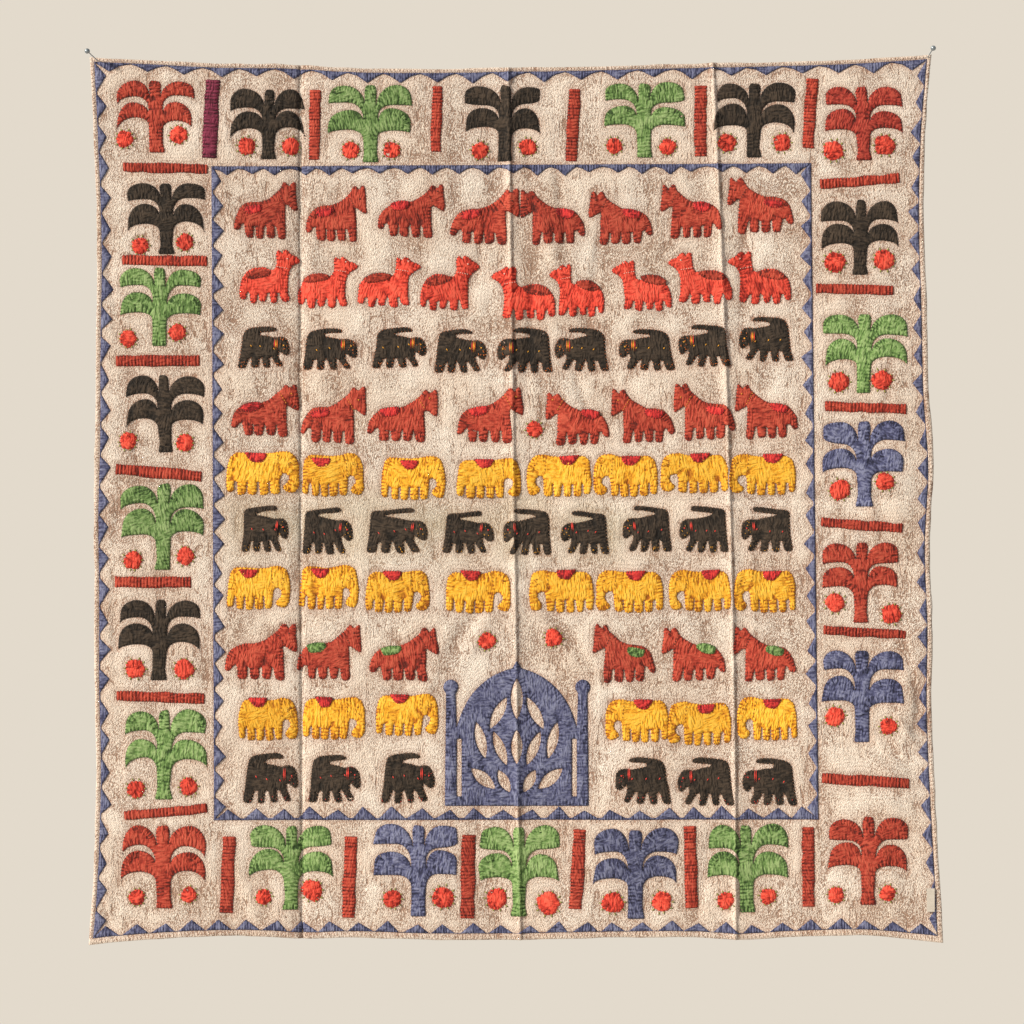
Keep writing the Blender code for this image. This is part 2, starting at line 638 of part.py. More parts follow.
def arch_loops():
    """Sill, two posts with round knobs and a pointed arch, with leaf-shaped holes."""
    post_middle = ARCH_HALF - POST_WIDTH / 2
    inner = ARCH_HALF - POST_WIDTH
    opening = math.asin(NECK_HALF / KNOB_RADIUS)
    knob = []
    for step in range(KNOB_STEPS + 1):
        angle = -math.pi / 2 + opening + step * 2 * (math.pi - opening) / KNOB_STEPS
        knob.append((post_middle + KNOB_RADIUS * math.cos(angle),
                     POST_HEIGHT - KNOB_RADIUS + KNOB_RADIUS * math.sin(angle)))
    shoulder = (ARCH_CROWN_HALF, ARCH_TOP - ARCH_CROWN)
    half = [(ARCH_HALF, 0.0), *knob, (inner, ARCH_SPRING)]
    half += arc(half[-1], ARCH_BEND, shoulder, ARCH_STEPS)
    outline = half + [(0.0, ARCH_TOP)] + [(-across, height) for across, height in reversed(half)]
    loops = [outline]
    for leaf in ARCH_LEAVES:
        for mirror in (1, -1) if leaf.across else (1,):
            loops.append(leaf_loop(leaf, mirror))
    # One long slot on each side parts the post from the arch.
    beside = inner - SLOT_WIDTH
    slot = [(inner, SILL), (inner, SLOT_TOP), (beside, SLOT_TOP), (beside, SILL)]
    loops += [[(mirror * across, height) for across, height in slot] for mirror in (1, -1)]
    return loops


def turned_pin(pin, collection, parent):
    """A straight pin with a ball head: a profile turned about its length, head at its origin."""
    hole_depth = float(cloth_depth(pin.hole_across, pin.hole_drop))
    head = Vector((pin.head_across, -pin.head_depth, -pin.head_drop)) * MM
    hole = Vector((pin.hole_across, -hole_depth, -pin.hole_drop)) * MM
    aim = (hole - head).normalized()
    length = (PIN_IN_WALL + pin.head_depth) / aim.y
    neck = math.asin(SHANK_RADIUS / HEAD_RADIUS)
    profile = [(0.0, HEAD_RADIUS)]
    for step in range(1, HEAD_STEPS + 1):
        angle = step * (math.pi - neck) / HEAD_STEPS
        profile.append((HEAD_RADIUS * math.sin(angle), HEAD_RADIUS * math.cos(angle)))
    profile += [(SHANK_RADIUS, POINT_LENGTH - length), (POINT_RADIUS, -length), (0.0, -length)]
    mesh = bpy.data.meshes.new(pin.name)
    mesh.from_pydata([(x * MM, 0.0, z * MM) for x, z in profile],
                     [(i, i + 1) for i in range(len(profile) - 1)], [])
    obj = add_object(pin.name, mesh, "pin", collection, parent)
    turned = obj.modifiers.new("turned", "SCREW")
    turned.steps = PIN_STEPS
    turned.render_steps = PIN_STEPS
    turned.use_merge_vertices = True
    turned.merge_threshold = 0.01 * MM
    turned.use_smooth_shade = True
    obj.location = head
    obj.rotation_mode = "QUATERNION"
    obj.rotation_quaternion = (-aim).to_track_quat("Z", "Y")
    return head, aim


def pin_hole(obj, pin, head, aim, cutters):
    """Cuts the cloth where the shank goes through it."""
    bm = bmesh.new()
    radius = (SHANK_RADIUS + HOLE_CLEARANCE) * MM
    bmesh.ops.create_cone(bm, cap_ends=True, segments=PIN_STEPS, radius1=radius, radius2=radius,
                          depth=HOLE_LENGTH * MM)
    mesh = bpy.data.meshes.new(pin.name + "_hole")
    bm.to_mesh(mesh)
    bm.free()
    cutter = add_cutter(pin.name + "_hole", mesh, cutters)
    cutter.location = head + aim * HOLE_LENGTH / 2 * MM
    cutter.rotation_mode = "QUATERNION"
    cutter.rotation_quaternion = aim.to_track_quat("Z", "Y")
    cut = obj.modifiers.new(pin.name, "BOOLEAN")
    cut.operation = "DIFFERENCE"
    cut.solver = "EXACT"
    cut.object = cutter


def main():
    for old in list(bpy.data.objects):
        bpy.data.objects.remove(old)
    scene = bpy.context.scene
    parts = bpy.data.collections.new("applique wall hanging")
    cutters = bpy.data.collections.new("cutters")
    scene.collection.children.link(parts)
    scene.collection.children.link(cutters)
    hanging = bpy.data.objects.new("hanging", None)
    parts.objects.link(hanging)

    half = CLOTH_THICK / 2
    cloth_mesh = sheet_mesh("ground_cloth", -half, half, HEM_EXTRA)
    cloth = add_object("ground_cloth", cloth_mesh, "ground", parts, hanging)
    patch_back = half + LAYER_GAP
    patch_mesh = sheet_mesh("patch_layer", patch_back, patch_back + PATCH_THICK)
    patch_layer = add_cutter("patch_layer", patch_mesh, cutters)
    label_back = patch_back + PATCH_THICK + LAYER_GAP
    label_mesh = sheet_mesh("label_layer", label_back, label_back + LABEL_THICK)
    label_layer = add_cutter("label_layer", label_mesh, cutters)

    hem_line, hem_corners = along_hem()
    outer = border_loops(hem_line, outer_edges, hem_corners, OUTER_TEETH, seed=1)
    add_patch("outer_border", "blue", outer, 0.0, 0.0, patch_layer, hanging, parts)
    frame_corners = list(INNER_FRAME.values())
    inner = border_loops(frame_corners, inner_edges, frame_corners, INNER_TEETH, seed=2)
    add_patch("inner_border", "blue", inner, 0.0, 0.0, patch_layer, hanging, parts)
    for number, palm in enumerate(PALMS):
        add_patch(palm.name, palm.colour, [palm_outline(palm, seed=number)],
                  palm.across, palm.foot, patch_layer, hanging, parts)
    for bar in BARS:
        add_patch(bar.name, bar.colour, [bar_outline(bar)], *bar.start, patch_layer, hanging, parts)
    add_patch("arch_panel", "blue", arch_loops(), ARCH_MIDDLE, ARCH_FOOT, patch_layer, hanging, parts)

    label_width = LABEL_ACROSS[1] - LABEL_ACROSS[0]
    label_height = LABEL_DROP[1] - LABEL_DROP[0]
    label = [(0.0, 0.0), (label_width, 0.0), (label_width, label_height), (0.0, label_height)]
    add_patch("blank_label", "label", [label], LABEL_ACROSS[0], LABEL_DROP[1], label_layer, hanging, parts)

    for pin in PINS:
        head, aim = turned_pin(pin, parts, hanging)
        pin_hole(cloth, pin, head, aim, cutters)


main()
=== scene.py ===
"""Looks of the applique wall hanging: quilted ground, sewn-on figures, stitches and pins.

Lengths are in millimetres until a mesh is made. "across" is measured to the right of the
origin, "drop" down from it and "height" out of the middle of the cloth, so that a point
of the scene lies at (across, -(depth + height), -drop) / 1000.
"""

import logging
import math
import random
from collections.abc import Callable, Iterable, Iterator, Sequence
from dataclasses import dataclass, field, replace
from enum import Enum
from functools import partial

import bmesh
import bpy
import numpy as np
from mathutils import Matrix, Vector
from mathutils.geometry import delaunay_2d_cdt


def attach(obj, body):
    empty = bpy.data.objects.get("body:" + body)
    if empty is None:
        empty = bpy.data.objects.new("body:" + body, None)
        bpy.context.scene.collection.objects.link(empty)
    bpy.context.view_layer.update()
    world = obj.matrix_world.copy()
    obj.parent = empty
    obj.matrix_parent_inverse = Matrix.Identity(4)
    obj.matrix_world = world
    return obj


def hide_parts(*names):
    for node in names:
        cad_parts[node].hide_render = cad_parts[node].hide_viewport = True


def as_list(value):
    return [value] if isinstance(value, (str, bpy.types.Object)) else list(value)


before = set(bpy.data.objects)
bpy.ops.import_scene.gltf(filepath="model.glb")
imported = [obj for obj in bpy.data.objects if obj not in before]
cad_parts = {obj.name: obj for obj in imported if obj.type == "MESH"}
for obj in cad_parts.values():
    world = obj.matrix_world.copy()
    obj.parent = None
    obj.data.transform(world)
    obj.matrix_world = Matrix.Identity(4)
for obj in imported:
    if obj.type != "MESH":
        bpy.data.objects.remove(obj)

MM = 0.001
log = logging.getLogger("hanging")

Array = np.ndarray
Number = float | np.ndarray
Point = tuple[float, float]


# Small tools for curves, noise and grids


def between(first: Number, last: Number, share: Number) -> Number:
    """The value at that share of the way from first to last."""
    return first + (last - first) * share


def smooth_through(rows: Sequence[Point], share: Array) -> Array:
    """A smooth curve through the rows, each (place, height).

    Between two rows the height is the straight line plus t(1-t) times a bend that gives
    each row the slope of its neighbours.

    Args:
        rows: places in rising order with their heights.
        share: places to read.

    Returns:
        The heights at share.
    """
    place, height = np.array(rows, float).T
    slope = np.gradient(height, place)
    share = np.clip(share, place[0], place[-1])
    at = np.clip(np.searchsorted(place, share, side="right") - 1, 0, len(place) - 2)
    span = place[at + 1] - place[at]
    t = (share - place[at]) / span
    rise = height[at + 1] - height[at]
    bend_in = slope[at] * span - rise
    bend_out = rise - slope[at + 1] * span
    return height[at] + t * rise + t * (1 - t) * ((1 - t) * bend_in + t * bend_out)


def cloud(across: Array, drop: Array, size: float, seed: int) -> Array:
    """Smooth noise from -1 to 1: random values on a square lattice, eased between.

    Args:
        across, drop: places in mm.
        size: the lattice's pitch in mm.
        seed: picks the random values.

    Returns:
        One value for each place.
    """
    side = 256
    table = np.random.default_rng(seed).uniform(-1, 1, (side, side))
    x, y = across / size + 2 * side, drop / size + 2 * side
    column, row = np.floor(x).astype(int), np.floor(y).astype(int)
    u, v = (part * part * (3 - 2 * part) for part in (x - column, y - row))
    levels = [between(table[at % side, column % side], table[at % side, (column + 1) % side], u)
              for at in (row, row + 1)]
    return between(*levels, v)


# How the cloth hangs


@dataclass(frozen=True)
class Fold:
    """A fold left from storage, on the parabola through its places at three shares."""

    top: float
    middle: float
    bottom: float
    height: float
    spread: float
    edge: float = 0.0
    edge_spread: float = 3.0
    # offset of the fold's painted shade from its line
    soil_at: float = 0.0

    def line(self, share: Array) -> Array:
        """Where the fold runs at that share of the way."""
        bend = 2 * (self.top + self.bottom - 2 * self.middle)
        return between(self.top, self.bottom, share) - bend * share * (1 - share)

    def rise(self, distance: Array, rounding: float) -> Array:
        """Height at a distance from the line.

        It falls off by e on both sides of a round crest, plus a narrow edge that falls
        off by e to minus the squared distance.
        """
        rounded = np.sqrt(distance**2 + rounding**2) - rounding
        return self.height * np.exp(-rounded / self.spread) + self.edge * np.exp(
            -((distance / self.edge_spread) ** 2))

    def soil(self, distance: Array, reach: float) -> Array:
        """Share of brown painted shade at its offset from the line of the fold, on the side turned from the
        light.
        """
        return np.exp(-(((distance - self.soil_at) / reach) ** 2))


@dataclass(frozen=True)
class Swell:
    """A soft rise of the cloth: its middle, half length, half width, turn and height."""

    across: float
    drop: float
    length: float
    width: float
    turn: float
    height: float

    def rise(self, across: Array, drop: Array) -> Array:
        """Its height times e to minus the squared distances in its own axes."""
        turn = math.radians(self.turn)
        right, down = across - self.across, drop - self.drop
        along = (right * math.cos(turn) + down * math.sin(turn)) / self.length
        aside = (down * math.cos(turn) - right * math.sin(turn)) / self.width
        return self.height * np.exp(-along**2 - aside**2)


@dataclass(frozen=True)
class Hanging:
    """The cloth's outline and folds, in the sizes of the solids."""

    half_thick: float = 0.9
    hems: tuple[float, float, float, float] = (4.0, 5.4, 6.5, 4.6)
    hem_slope: float = 0.8
    hem_extra: float = 0.6
    top_left: Point = (-529.5, -14.0)
    top_right: Point = (526.5, -17.0)
    bottom_left: Point = (-530.5, 1097.0)
    bottom_right: Point = (538.0, 1093.0)
    top_bow: tuple[Point, ...] = (
        (0, 0), (0.06, 3.2), (0.15, 8.4), (0.25, 10.2), (0.3, 14), (0.39, 16), (0.5, 14.5), (0.6, 13.4),
        (0.68, 11.2), (0.78, 9.2), (0.91, 5.8), (1, 0))
    left_bow: tuple[Point, ...] = (
        (0, 0), (0.1, 5.8), (0.21, 10), (0.33, 8.9), (0.44, 8.5), (0.5, 6.8), (0.61, 7.8), (0.71, 8),
        (0.79, 10.2), (0.87, 8.8), (0.95, 4.8), (1, 0))
    right_bow: tuple[Point, ...] = (
        (0, 0), (0.09, -9.5), (0.2, -13.2), (0.28, -11.4), (0.38, -10.2), (0.47, -5.2), (0.55, -10.6),
        (0.65, -8.9), (0.73, -10.8), (0.84, -7.4), (0.95, -2.1), (1, 0))
    bottom_bow: tuple[Point, ...] = (
        (0, 0), (0.05, -5), (0.15, -10.4), (0.21, -9.6), (0.25, -6.8), (0.3, -8.3), (0.4, -5.4), (0.5, -5),
        (0.6, -6.8), (0.72, -6), (0.76, -3.5), (0.82, -6.6), (0.91, -8.8), (1, 0))
    down_folds: tuple[Fold, ...] = (
        Fold(-265.0, -264.0, -262.0, -2.8, 9.0, -1.9, 2.0, -0.5),
        Fold(-5.0, 2.0, 10.0, 3.0, 9.0, 1.4, 2.0, 2.8),
        Fold(251.0, 272.0, 279.0, 3.0, 9.0, 1.5, 2.0, 2.8),
    )
    cross_fold: Fold = Fold(517.0, 541.0, 534.0, -1.2, 8.0, -0.6, 2.6)
    # Reaches and strengths of the painted highlight on the ridges' crests and of the brown painted shade
    # beside the folds, in patches, and in the creases' troughs
    rubbed: float = 1.8
    rub_gain: float = 0.4
    soiled: float = 1.7
    soil_patch: float = 26.0
    crease_soil: float = 0.55
    fold_round: float = 1.3
    swells: tuple[Swell, ...] = tuple(Swell(*row) for row in (
        (-330, 60, 190, 45, -14, 2.6), (40, 190, 150, 34, 78, 3), (95, 330, 170, 40, 66, -2.2),
        (330, 70, 180, 42, 12, 2.6), (-120, 690, 160, 50, 20, 2), (-480, 620, 240, 34, 88, 2.2),
        (478, 470, 150, 26, 86, 3.2), (486, 820, 160, 24, 99, 3.4), (130, 960, 170, 50, -60, 2.4),
    ))
    depth_at_top: float = 6.0
    depth_gain: float = 5.0
    right_stands_off: float = 6.0
    right_starts: float = 300.0
    right_at_top: float = 0.35
    panel_bow: float = 1.6
    crease_gain: float = 1.8
    # Small creases, far too fine for the solids, each a soft ridge or trough
    creases: tuple[Swell, ...] = tuple(Swell(*row) for row in (
        (-42, 240, 70, 7, 104, -0.9), (-20, 275, 60, 6, 76, 0.8), (24, 150, 60, 6, 84, -1),
        (44, 215, 80, 8, 72, 0.9), (30, 350, 90, 7, 82, -0.9), (70, 280, 70, 8, 58, -0.8),
        (-58, 700, 46, 8, 126, -1.3), (-44, 715, 40, 7, 118, 1.1), (50, 700, 44, 8, 52, 1),
        (76, 722, 46, 8, 50, -1), (-100, 760, 50, 9, 112, 0.9), (120, 800, 60, 9, 100, -0.8),
        (-352, 180, 60, 7, 70, 0.8), (-250, 250, 90, 6, 88, 0.7), (290, 240, 100, 6, 91, -0.8),
        (300, 640, 120, 6, 88, 0.7), (-245, 640, 110, 6, 92, -0.7), (-40, 930, 60, 7, 100, -0.7),
        (468, 420, 60, 6, 98, -0.9), (450, 560, 50, 6, 84, 0.9), (458, 870, 40, 7, 40, 1.3),
        (474, 850, 36, 6, 52, -1.2), (440, 905, 40, 7, 24, 1), (480, 770, 60, 6, 96, -1.1),
        (470, 1000, 50, 7, 64, 0.9), (-470, 480, 70, 6, 86, -0.7), (-480, 860, 70, 6, 94, 0.7),
        (-340, 1010, 60, 7, 70, 0.8), (240, 1010, 70, 7, 98, -0.9), (330, 1040, 50, 8, 30, 0.9),
        (-430, 30, 70, 6, 8, 0.8), (180, 20, 80, 6, 3, 0.7), (62, 180, 60, 4.5, 84, -1.2),
        (22, 330, 80, 4.5, 94, -1.1), (104, 255, 70, 5, 98, -0.9), (86, 405, 44, 4.5, 74, -1),
        (498, 752, 40, 4.5, 78, -1.3), (507, 800, 44, 4.5, 98, -1.2), (490, 826, 34, 5, 58, 1.1),
        (-497, 700, 70, 4.5, 88, -0.9), (-492, 560, 50, 4.5, 95, -0.8), (-500, 290, 60, 4.5, 84, -0.8),
        (-350, 1068, 30, 5, 60, -0.9), (-506, 1062, 20, 4, 72, -1.3), (-496, 1056, 16, 4, 82, -1.1),
    ))

    def edge(self, first: Point, last: Point, bow: Sequence[Point], axis: int, at: Array) -> Array:
        """The edge between two corners at places along that axis: a line plus its bow."""
        share = (at - first[axis]) / (last[axis] - first[axis])
        return between(first[1 - axis], last[1 - axis], share) + smooth_through(bow, share)

    def top(self, across: Array) -> Array:
        """Drop of the top edge."""
        return self.edge(self.top_left, self.top_right, self.top_bow, 0, across)

    def bottom(self, across: Array) -> Array:
        """Drop of the bottom edge."""
        return self.edge(self.bottom_left, self.bottom_right, self.bottom_bow, 0, across)

    def left(self, drop: Array) -> Array:
        """Place of the left edge."""
        return self.edge(self.top_left, self.bottom_left, self.left_bow, 1, drop)

    def right(self, drop: Array) -> Array:
        """Place of the right edge."""
        return self.edge(self.top_right, self.bottom_right, self.right_bow, 1, drop)

    def cross(self, across: Array) -> Array:
        """Drop of the fold that runs across the cloth."""
        return self.cross_fold.line((across - self.top_left[0]) / (self.top_right[0] - self.top_left[0]))

    def guide_columns(self, drop: Array) -> list[Array]:
        """Left edge, the three folds and the right edge at each drop."""
        share = np.clip(drop / self.bottom_left[1], 0, 1)
        return [self.left(drop), *(fold.line(share) for fold in self.down_folds), self.right(drop)]

    def depth(self, across: Array, drop: Array) -> Array:
        """Distance of the cloth's middle from the wall.

        A slope away from the wall, a lift at the right edge, a shallow bow between each
        two folds (a squared sine), the folds themselves, the swells and the creases.
        """
        share = np.clip(drop / self.bottom_left[1], 0, 1)
        lines = self.guide_columns(drop)
        depth = self.depth_at_top + self.depth_gain * share
        lifted = np.clip((across - self.right_starts) / (self.bottom_right[0] - self.right_starts), 0, 1)
        off = self.right_stands_off * between(self.right_at_top, 1.0, share)
        depth = depth + off * lifted**2 * (3 - 2 * lifted)
        for first, last in zip(lines, lines[1:]):
            inside = np.clip((across - first) / (last - first), 0, 1)
            depth = depth + self.panel_bow * np.sin(math.pi * inside) ** 2
        for fold, line in zip(self.down_folds, lines[1:-1]):
            depth = depth + fold.rise(across - line, self.fold_round)
        depth = depth + self.cross_fold.rise(drop - self.cross(across), self.fold_round)
        for spot in self.swells:
            depth = depth + spot.rise(across, drop)
        for spot in self.creases:
            depth = depth + self.crease_gain * spot.rise(across, drop)
        return depth

    def wear(self, across: Array, drop: Array) -> Array:
        """How much painted highlight lies on the ridges' crests, less the brown painted shade beside the
        folds and in the troughs of the small creases.

        e to minus the squared distance over the reach, squared, of the crest and of the shaded line, which is
        broken into patches, and the depth of the small creases where they run low.
        """
        wear = np.zeros_like(across)
        patches = np.clip(0.65 + 0.6 * cloud(across, drop, self.soil_patch, 15), 0.1, 1.2)
        # painted highlight on each ridge's crest, painted shade beside each fold
        for fold, line in zip(self.down_folds, self.guide_columns(drop)[1:-1]):
            crest = np.exp(-(((across - line) / self.rubbed) ** 2))
            wear = wear + max(0.0, fold.edge) * self.rub_gain * crest
            wear = wear - patches * fold.soil(across - line, self.soiled)
        # painted shade in the troughs of the small creases
        for spot in self.creases:
            if spot.height < 0:
                wear = wear + self.crease_soil * spot.rise(across, drop)
        return wear

    def place(self, across: Array, drop: Array, height: Array) -> Array:
        """Points of the scene, in metres, for places on the cloth and heights off its middle."""
        out = self.depth(across, drop) + height
        return np.stack([across, -out, -drop], axis=-1) * MM


# Outlines


@dataclass
class Loop:
    """A closed outline as an array of (across, drop) points."""

    points: Array

    @property
    def area(self) -> float:
        """Signed area, half the sum of the cross products of neighbouring points."""
        x, y = self.points.T
        return 0.5 * float(np.sum(x * np.roll(y, -1) - np.roll(x, -1) * y))

    def turned(self, positive: bool) -> "Loop":
        """The same outline, running so that its area has the wanted sign."""
        return self if (self.area > 0) == positive else Loop(self.points[::-1])

    def softened(self, radius: float) -> "Loop":
        """Corners cut: each point becomes two, a radius (at most 0.4 of a side) away."""
        before, after = np.roll(self.points, 1, axis=0), np.roll(self.points, -1, axis=0)
        rounded = []
        for other in (before, after):
            way = other - self.points
            length = np.linalg.norm(way, axis=1, keepdims=True)
            step = np.minimum(radius, 0.4 * length)
            rounded.append(self.points + way / np.maximum(length, 1e-6) * step)
        return Loop(np.stack(rounded, axis=1).reshape(-1, 2))

    @property
    def around(self) -> float:
        """The outline's length."""
        return float(np.linalg.norm(self.points - np.roll(self.points, 1, axis=0), axis=1).sum())

    def resampled(self, step: float = 1.0, count: int = 0) -> tuple[Array, Array, Array]:
        """Even points along the outline.

        Args:
            step: wanted spacing, where no count is given.
            count: number of points.

        Returns:
            The points, their unit normals (to the left of the run, which is inwards where
            the area is positive) and their lengths along the outline.
        """
        closed = np.vstack([self.points, self.points[:1]])
        sides = np.linalg.norm(np.diff(closed, axis=0), axis=1)
        at = np.concatenate([[0.0], np.cumsum(sides)])
        count = count or max(6, round(at[-1] / step))
        along = np.arange(count) * at[-1] / count
        points = np.stack([np.interp(along, at, closed[:, axis]) for axis in (0, 1)], axis=1)
        way = np.roll(points, -1, axis=0) - np.roll(points, 1, axis=0)
        way /= np.maximum(np.linalg.norm(way, axis=1, keepdims=True), 1e-6)
        return points, np.stack([-way[:, 1], way[:, 0]], axis=1), along


def contains(loops: Iterable[Array], points: Array) -> Array:
    """Which points lie inside: those with an odd number of crossings to their right."""
    starts = np.vstack(list(loops)).astype(np.float32)
    ends = np.vstack([np.roll(loop, -1, axis=0) for loop in loops]).astype(np.float32)
    inside = np.zeros(len(points), bool)
    for first in range(0, len(points), 4000):
        x, y = points[first:first + 4000].astype(np.float32).T[:, :, None]
        over = (starts[:, 1] > y) != (ends[:, 1] > y)
        rise = np.where(ends[:, 1] == starts[:, 1], 1, ends[:, 1] - starts[:, 1])
        cross = starts[:, 0] + (y - starts[:, 1]) * (ends[:, 0] - starts[:, 0]) / rise
        inside[first:first + 4000] = (over & (x < cross)).sum(axis=1) % 2 == 1
    return inside


def nearest(points: Array, samples: Array) -> tuple[Array, Array]:
    """For each point the number of the nearest sample and the distance to it."""
    index = np.empty(len(points), int)
    distance = np.empty(len(points))
    for first in range(0, len(points), 3000):
        part = points[first:first + 3000].astype(np.float32)
        gaps = (part[:, :1] - samples[:, 0]) ** 2 + (part[:, 1:] - samples[:, 1]) ** 2
        index[first:first + 3000] = gaps.argmin(axis=1)
        distance[first:first + 3000] = np.sqrt(gaps.min(axis=1))
    return index, distance


def arc(start: Point, bend: Point, end: Point, steps: int) -> list[Point]:
    """Points after start on the curve (1-t)^2 start + 2t(1-t) bend + t^2 end."""
    points = []
    for step in range(1, steps + 1):
        t = step / steps
        points.append(tuple((1 - t) ** 2 * a + 2 * t * (1 - t) * b + t**2 * c
                            for a, b, c in zip(start, bend, end)))
    return points


def dome(start: Point, crest: Point, end: Point, steps: int) -> list[Point]:
    """Points after start on two quarter ellipses, from start up to crest and down to end."""
    points = []
    for side, level in ((start, 1.0), (end, 0.0)):
        for step in range(1, steps + 1):
            angle = math.pi / 2 * (level + (1 - 2 * level) * (1 - step / steps))
            out = crest[0] + (side[0] - crest[0]) * math.cos(angle)
            up = side[1] + (crest[1] - side[1]) * math.sin(angle)
            points.append((out, up))
    return points


# Finishes


def linear(colour: str) -> tuple[float, float, float, float]:
    """An sRGB hex value as linear red, green, blue and alpha."""
    channels = [int(colour[at:at + 2], 16) / 255 for at in (0, 2, 4)]
    return (*(c / 12.92 if c <= 0.04045 else ((c + 0.055) / 1.055) ** 2.4 for c in channels), 1.0)


def feed(node: bpy.types.Node, inputs: dict | Sequence) -> None:
    """Links sockets to a node's inputs and sets values and hex colours on them."""
    for key, value in (inputs if isinstance(inputs, dict) else dict(enumerate(inputs))).items():
        if isinstance(value, bpy.types.NodeSocket):
            node.id_data.links.new(value, node.inputs[key])
        else:
            node.inputs[key].default_value = linear(value) if isinstance(value, str) else value


def add(tree: bpy.types.NodeTree, kind: str, inputs: dict | Sequence = (), out: int | str = 0,
        **settings) -> bpy.types.NodeSocket:
    """Adds a node.

    Args:
        tree: where the node goes.
        kind: its type's name after ShaderNode.
        inputs: values, hex colours or sockets, in order or by the input's name or number.
        out: the wanted output's name or number.
        settings: the node's own properties.

    Returns:
        The output socket.
    """
    made = tree.nodes.new("ShaderNode" + kind)
    for key, value in settings.items():
        setattr(made, key, value)
    feed(made, inputs)
    return made.outputs[out]


Adder = Callable[..., bpy.types.NodeSocket]
COLOURS = {"out": 2, "data_type": "RGBA"}


def new_tree(name: str) -> tuple[bpy.types.Material, Adder, bpy.types.Node]:
    """A new material, the function that adds nodes to it and its Principled shader."""
    material = bpy.data.materials.new(name)
    material.use_nodes = True
    return material, partial(add, material.node_tree), material.node_tree.nodes["Principled BSDF"]


def woven(node: Adder, thread: float) -> bpy.types.NodeSocket:
    """Height of a plain weave: noise drawn out along X plus noise drawn out along Z.

    Real threads are 0.4 mm apart. They are drawn coarser so that they show.
    """
    place = node("TexCoord", out="Object")
    fine, long = 1 / (thread * MM), 1 / (thread * 7 * MM)
    parts = []
    for scale in ((fine, fine, long), (long, fine, fine)):
        drawn = node("VectorMath", (place, scale), operation="MULTIPLY")
        parts.append(node("TexNoise", {"Vector": drawn, "Scale": 1.0, "Detail": 1.0}))
    return node("Math", parts, operation="ADD")


@dataclass(frozen=True)
class Cotton:
    """Plain woven cotton, dyed and washed many times: matt, mottled, with a painted highlight on its crests
    and a painted shade in its grooves.
    """

    name: str
    colour: str
    faded: str
    deep: str
    thread: float = 1.1
    bump: float = 0.16
    patch: float = 45.0
    speck: float = 2.4
    crumple: float = 2.6
    grain: float = 24.0
    wrinkle: float = 2.5
    wrinkle_length: float = 3.2
    wrinkle_depth: float = 0.36
    wrinkle_turn: float = 0.3

    def material(self) -> bpy.types.Material:
        """Builds the material.

        The colour goes from its own towards the paler one in random patches and, as a painted highlight, on
        the crests of the puckers and wrinkles, and towards the darker one in random patches and, as a painted
        shade, in their grooves. The bump is the weave, a fine crumple, and wrinkles that run down in some
        places and across in others.
        """
        material, node, shader = new_tree(self.name)
        place = node("TexCoord", out="Object")
        pucker, tone = (node("Attribute", out="Fac", attribute_name=name) for name in ("pucker", "tone"))
        broad, small, crumple, level = (
            node("TexNoise", {"Vector": place, "Scale": 1 / (size * MM), "Detail": detail})
            for size, detail in ((self.patch, 2.0), (self.speck, 2.0), (self.crumple, 2.0),
                                 (self.grain, 1.0)))
        turn = node("CombineXYZ", {"Y": node("Math", (tone, self.wrinkle_turn), operation="MULTIPLY")})
        ways = []
        for scale in ((1.0, 1.0, self.wrinkle_length), (self.wrinkle_length, 1.0, 1.0)):
            drawn = node("Mapping", {"Vector": place, "Rotation": turn, "Scale": scale},
                         vector_type="TEXTURE")
            ways.append(node("TexNoise", {"Vector": drawn, "Scale": 1 / (self.wrinkle * MM), "Detail": 1.0}))
        level = node("MapRange", (level, 0.47, 0.60))
        apart = node("Math", ways[::-1], operation="SUBTRACT")
        wrinkle = node("Math", (apart, level, ways[0]), operation="MULTIPLY_ADD")
        wrinkle = node("MapRange", (wrinkle, 0.34, 0.60, -1.0, 1.0))
        # crest mixes random mottling with painted light from the wrinkles' bump and the puckers' painted
        # shade
        crest = 0.0
        for part, weight in ((broad, 0.4), (small, 0.6), (wrinkle, 0.22), (pucker, 0.40)):
            crest = node("Math", (part, weight, crest), operation="MULTIPLY_ADD")
        # a high crest turns the colour paler, partly a painted highlight; a low crest darker, partly a
        # painted shade
        fade_and_highlight, valley_shade = (node("MapRange", (crest, *ends)) for ends in ((0.45, 0.95), (0.50, 0.05, 0.0, 0.9)))
        colour = self.colour
        for share, other in ((fade_and_highlight, self.faded), (valley_shade, self.deep)):
            colour = node("Mix", {0: share, 6: colour, 7: other}, **COLOURS)
        value = node("Math", (tone, 0.12, 1.0), operation="MULTIPLY_ADD")
        height = node("Math", (crumple, 1.4, woven(node, self.thread)), operation="MULTIPLY_ADD")
        bump = node("Bump", {"Height": wrinkle, "Strength": 1.0, "Distance": self.wrinkle_depth * MM})
        bump = node("Bump", {"Height": height, "Strength": 1.0, "Distance": self.bump * MM, "Normal": bump})
        feed(shader, {"Base Color": node("HueSaturation", {"Value": value, "Color": colour}), "Normal": bump,
                      "Roughness": 0.9, "Sheen Weight": 0.08, "Sheen Roughness": 0.5})
        return material


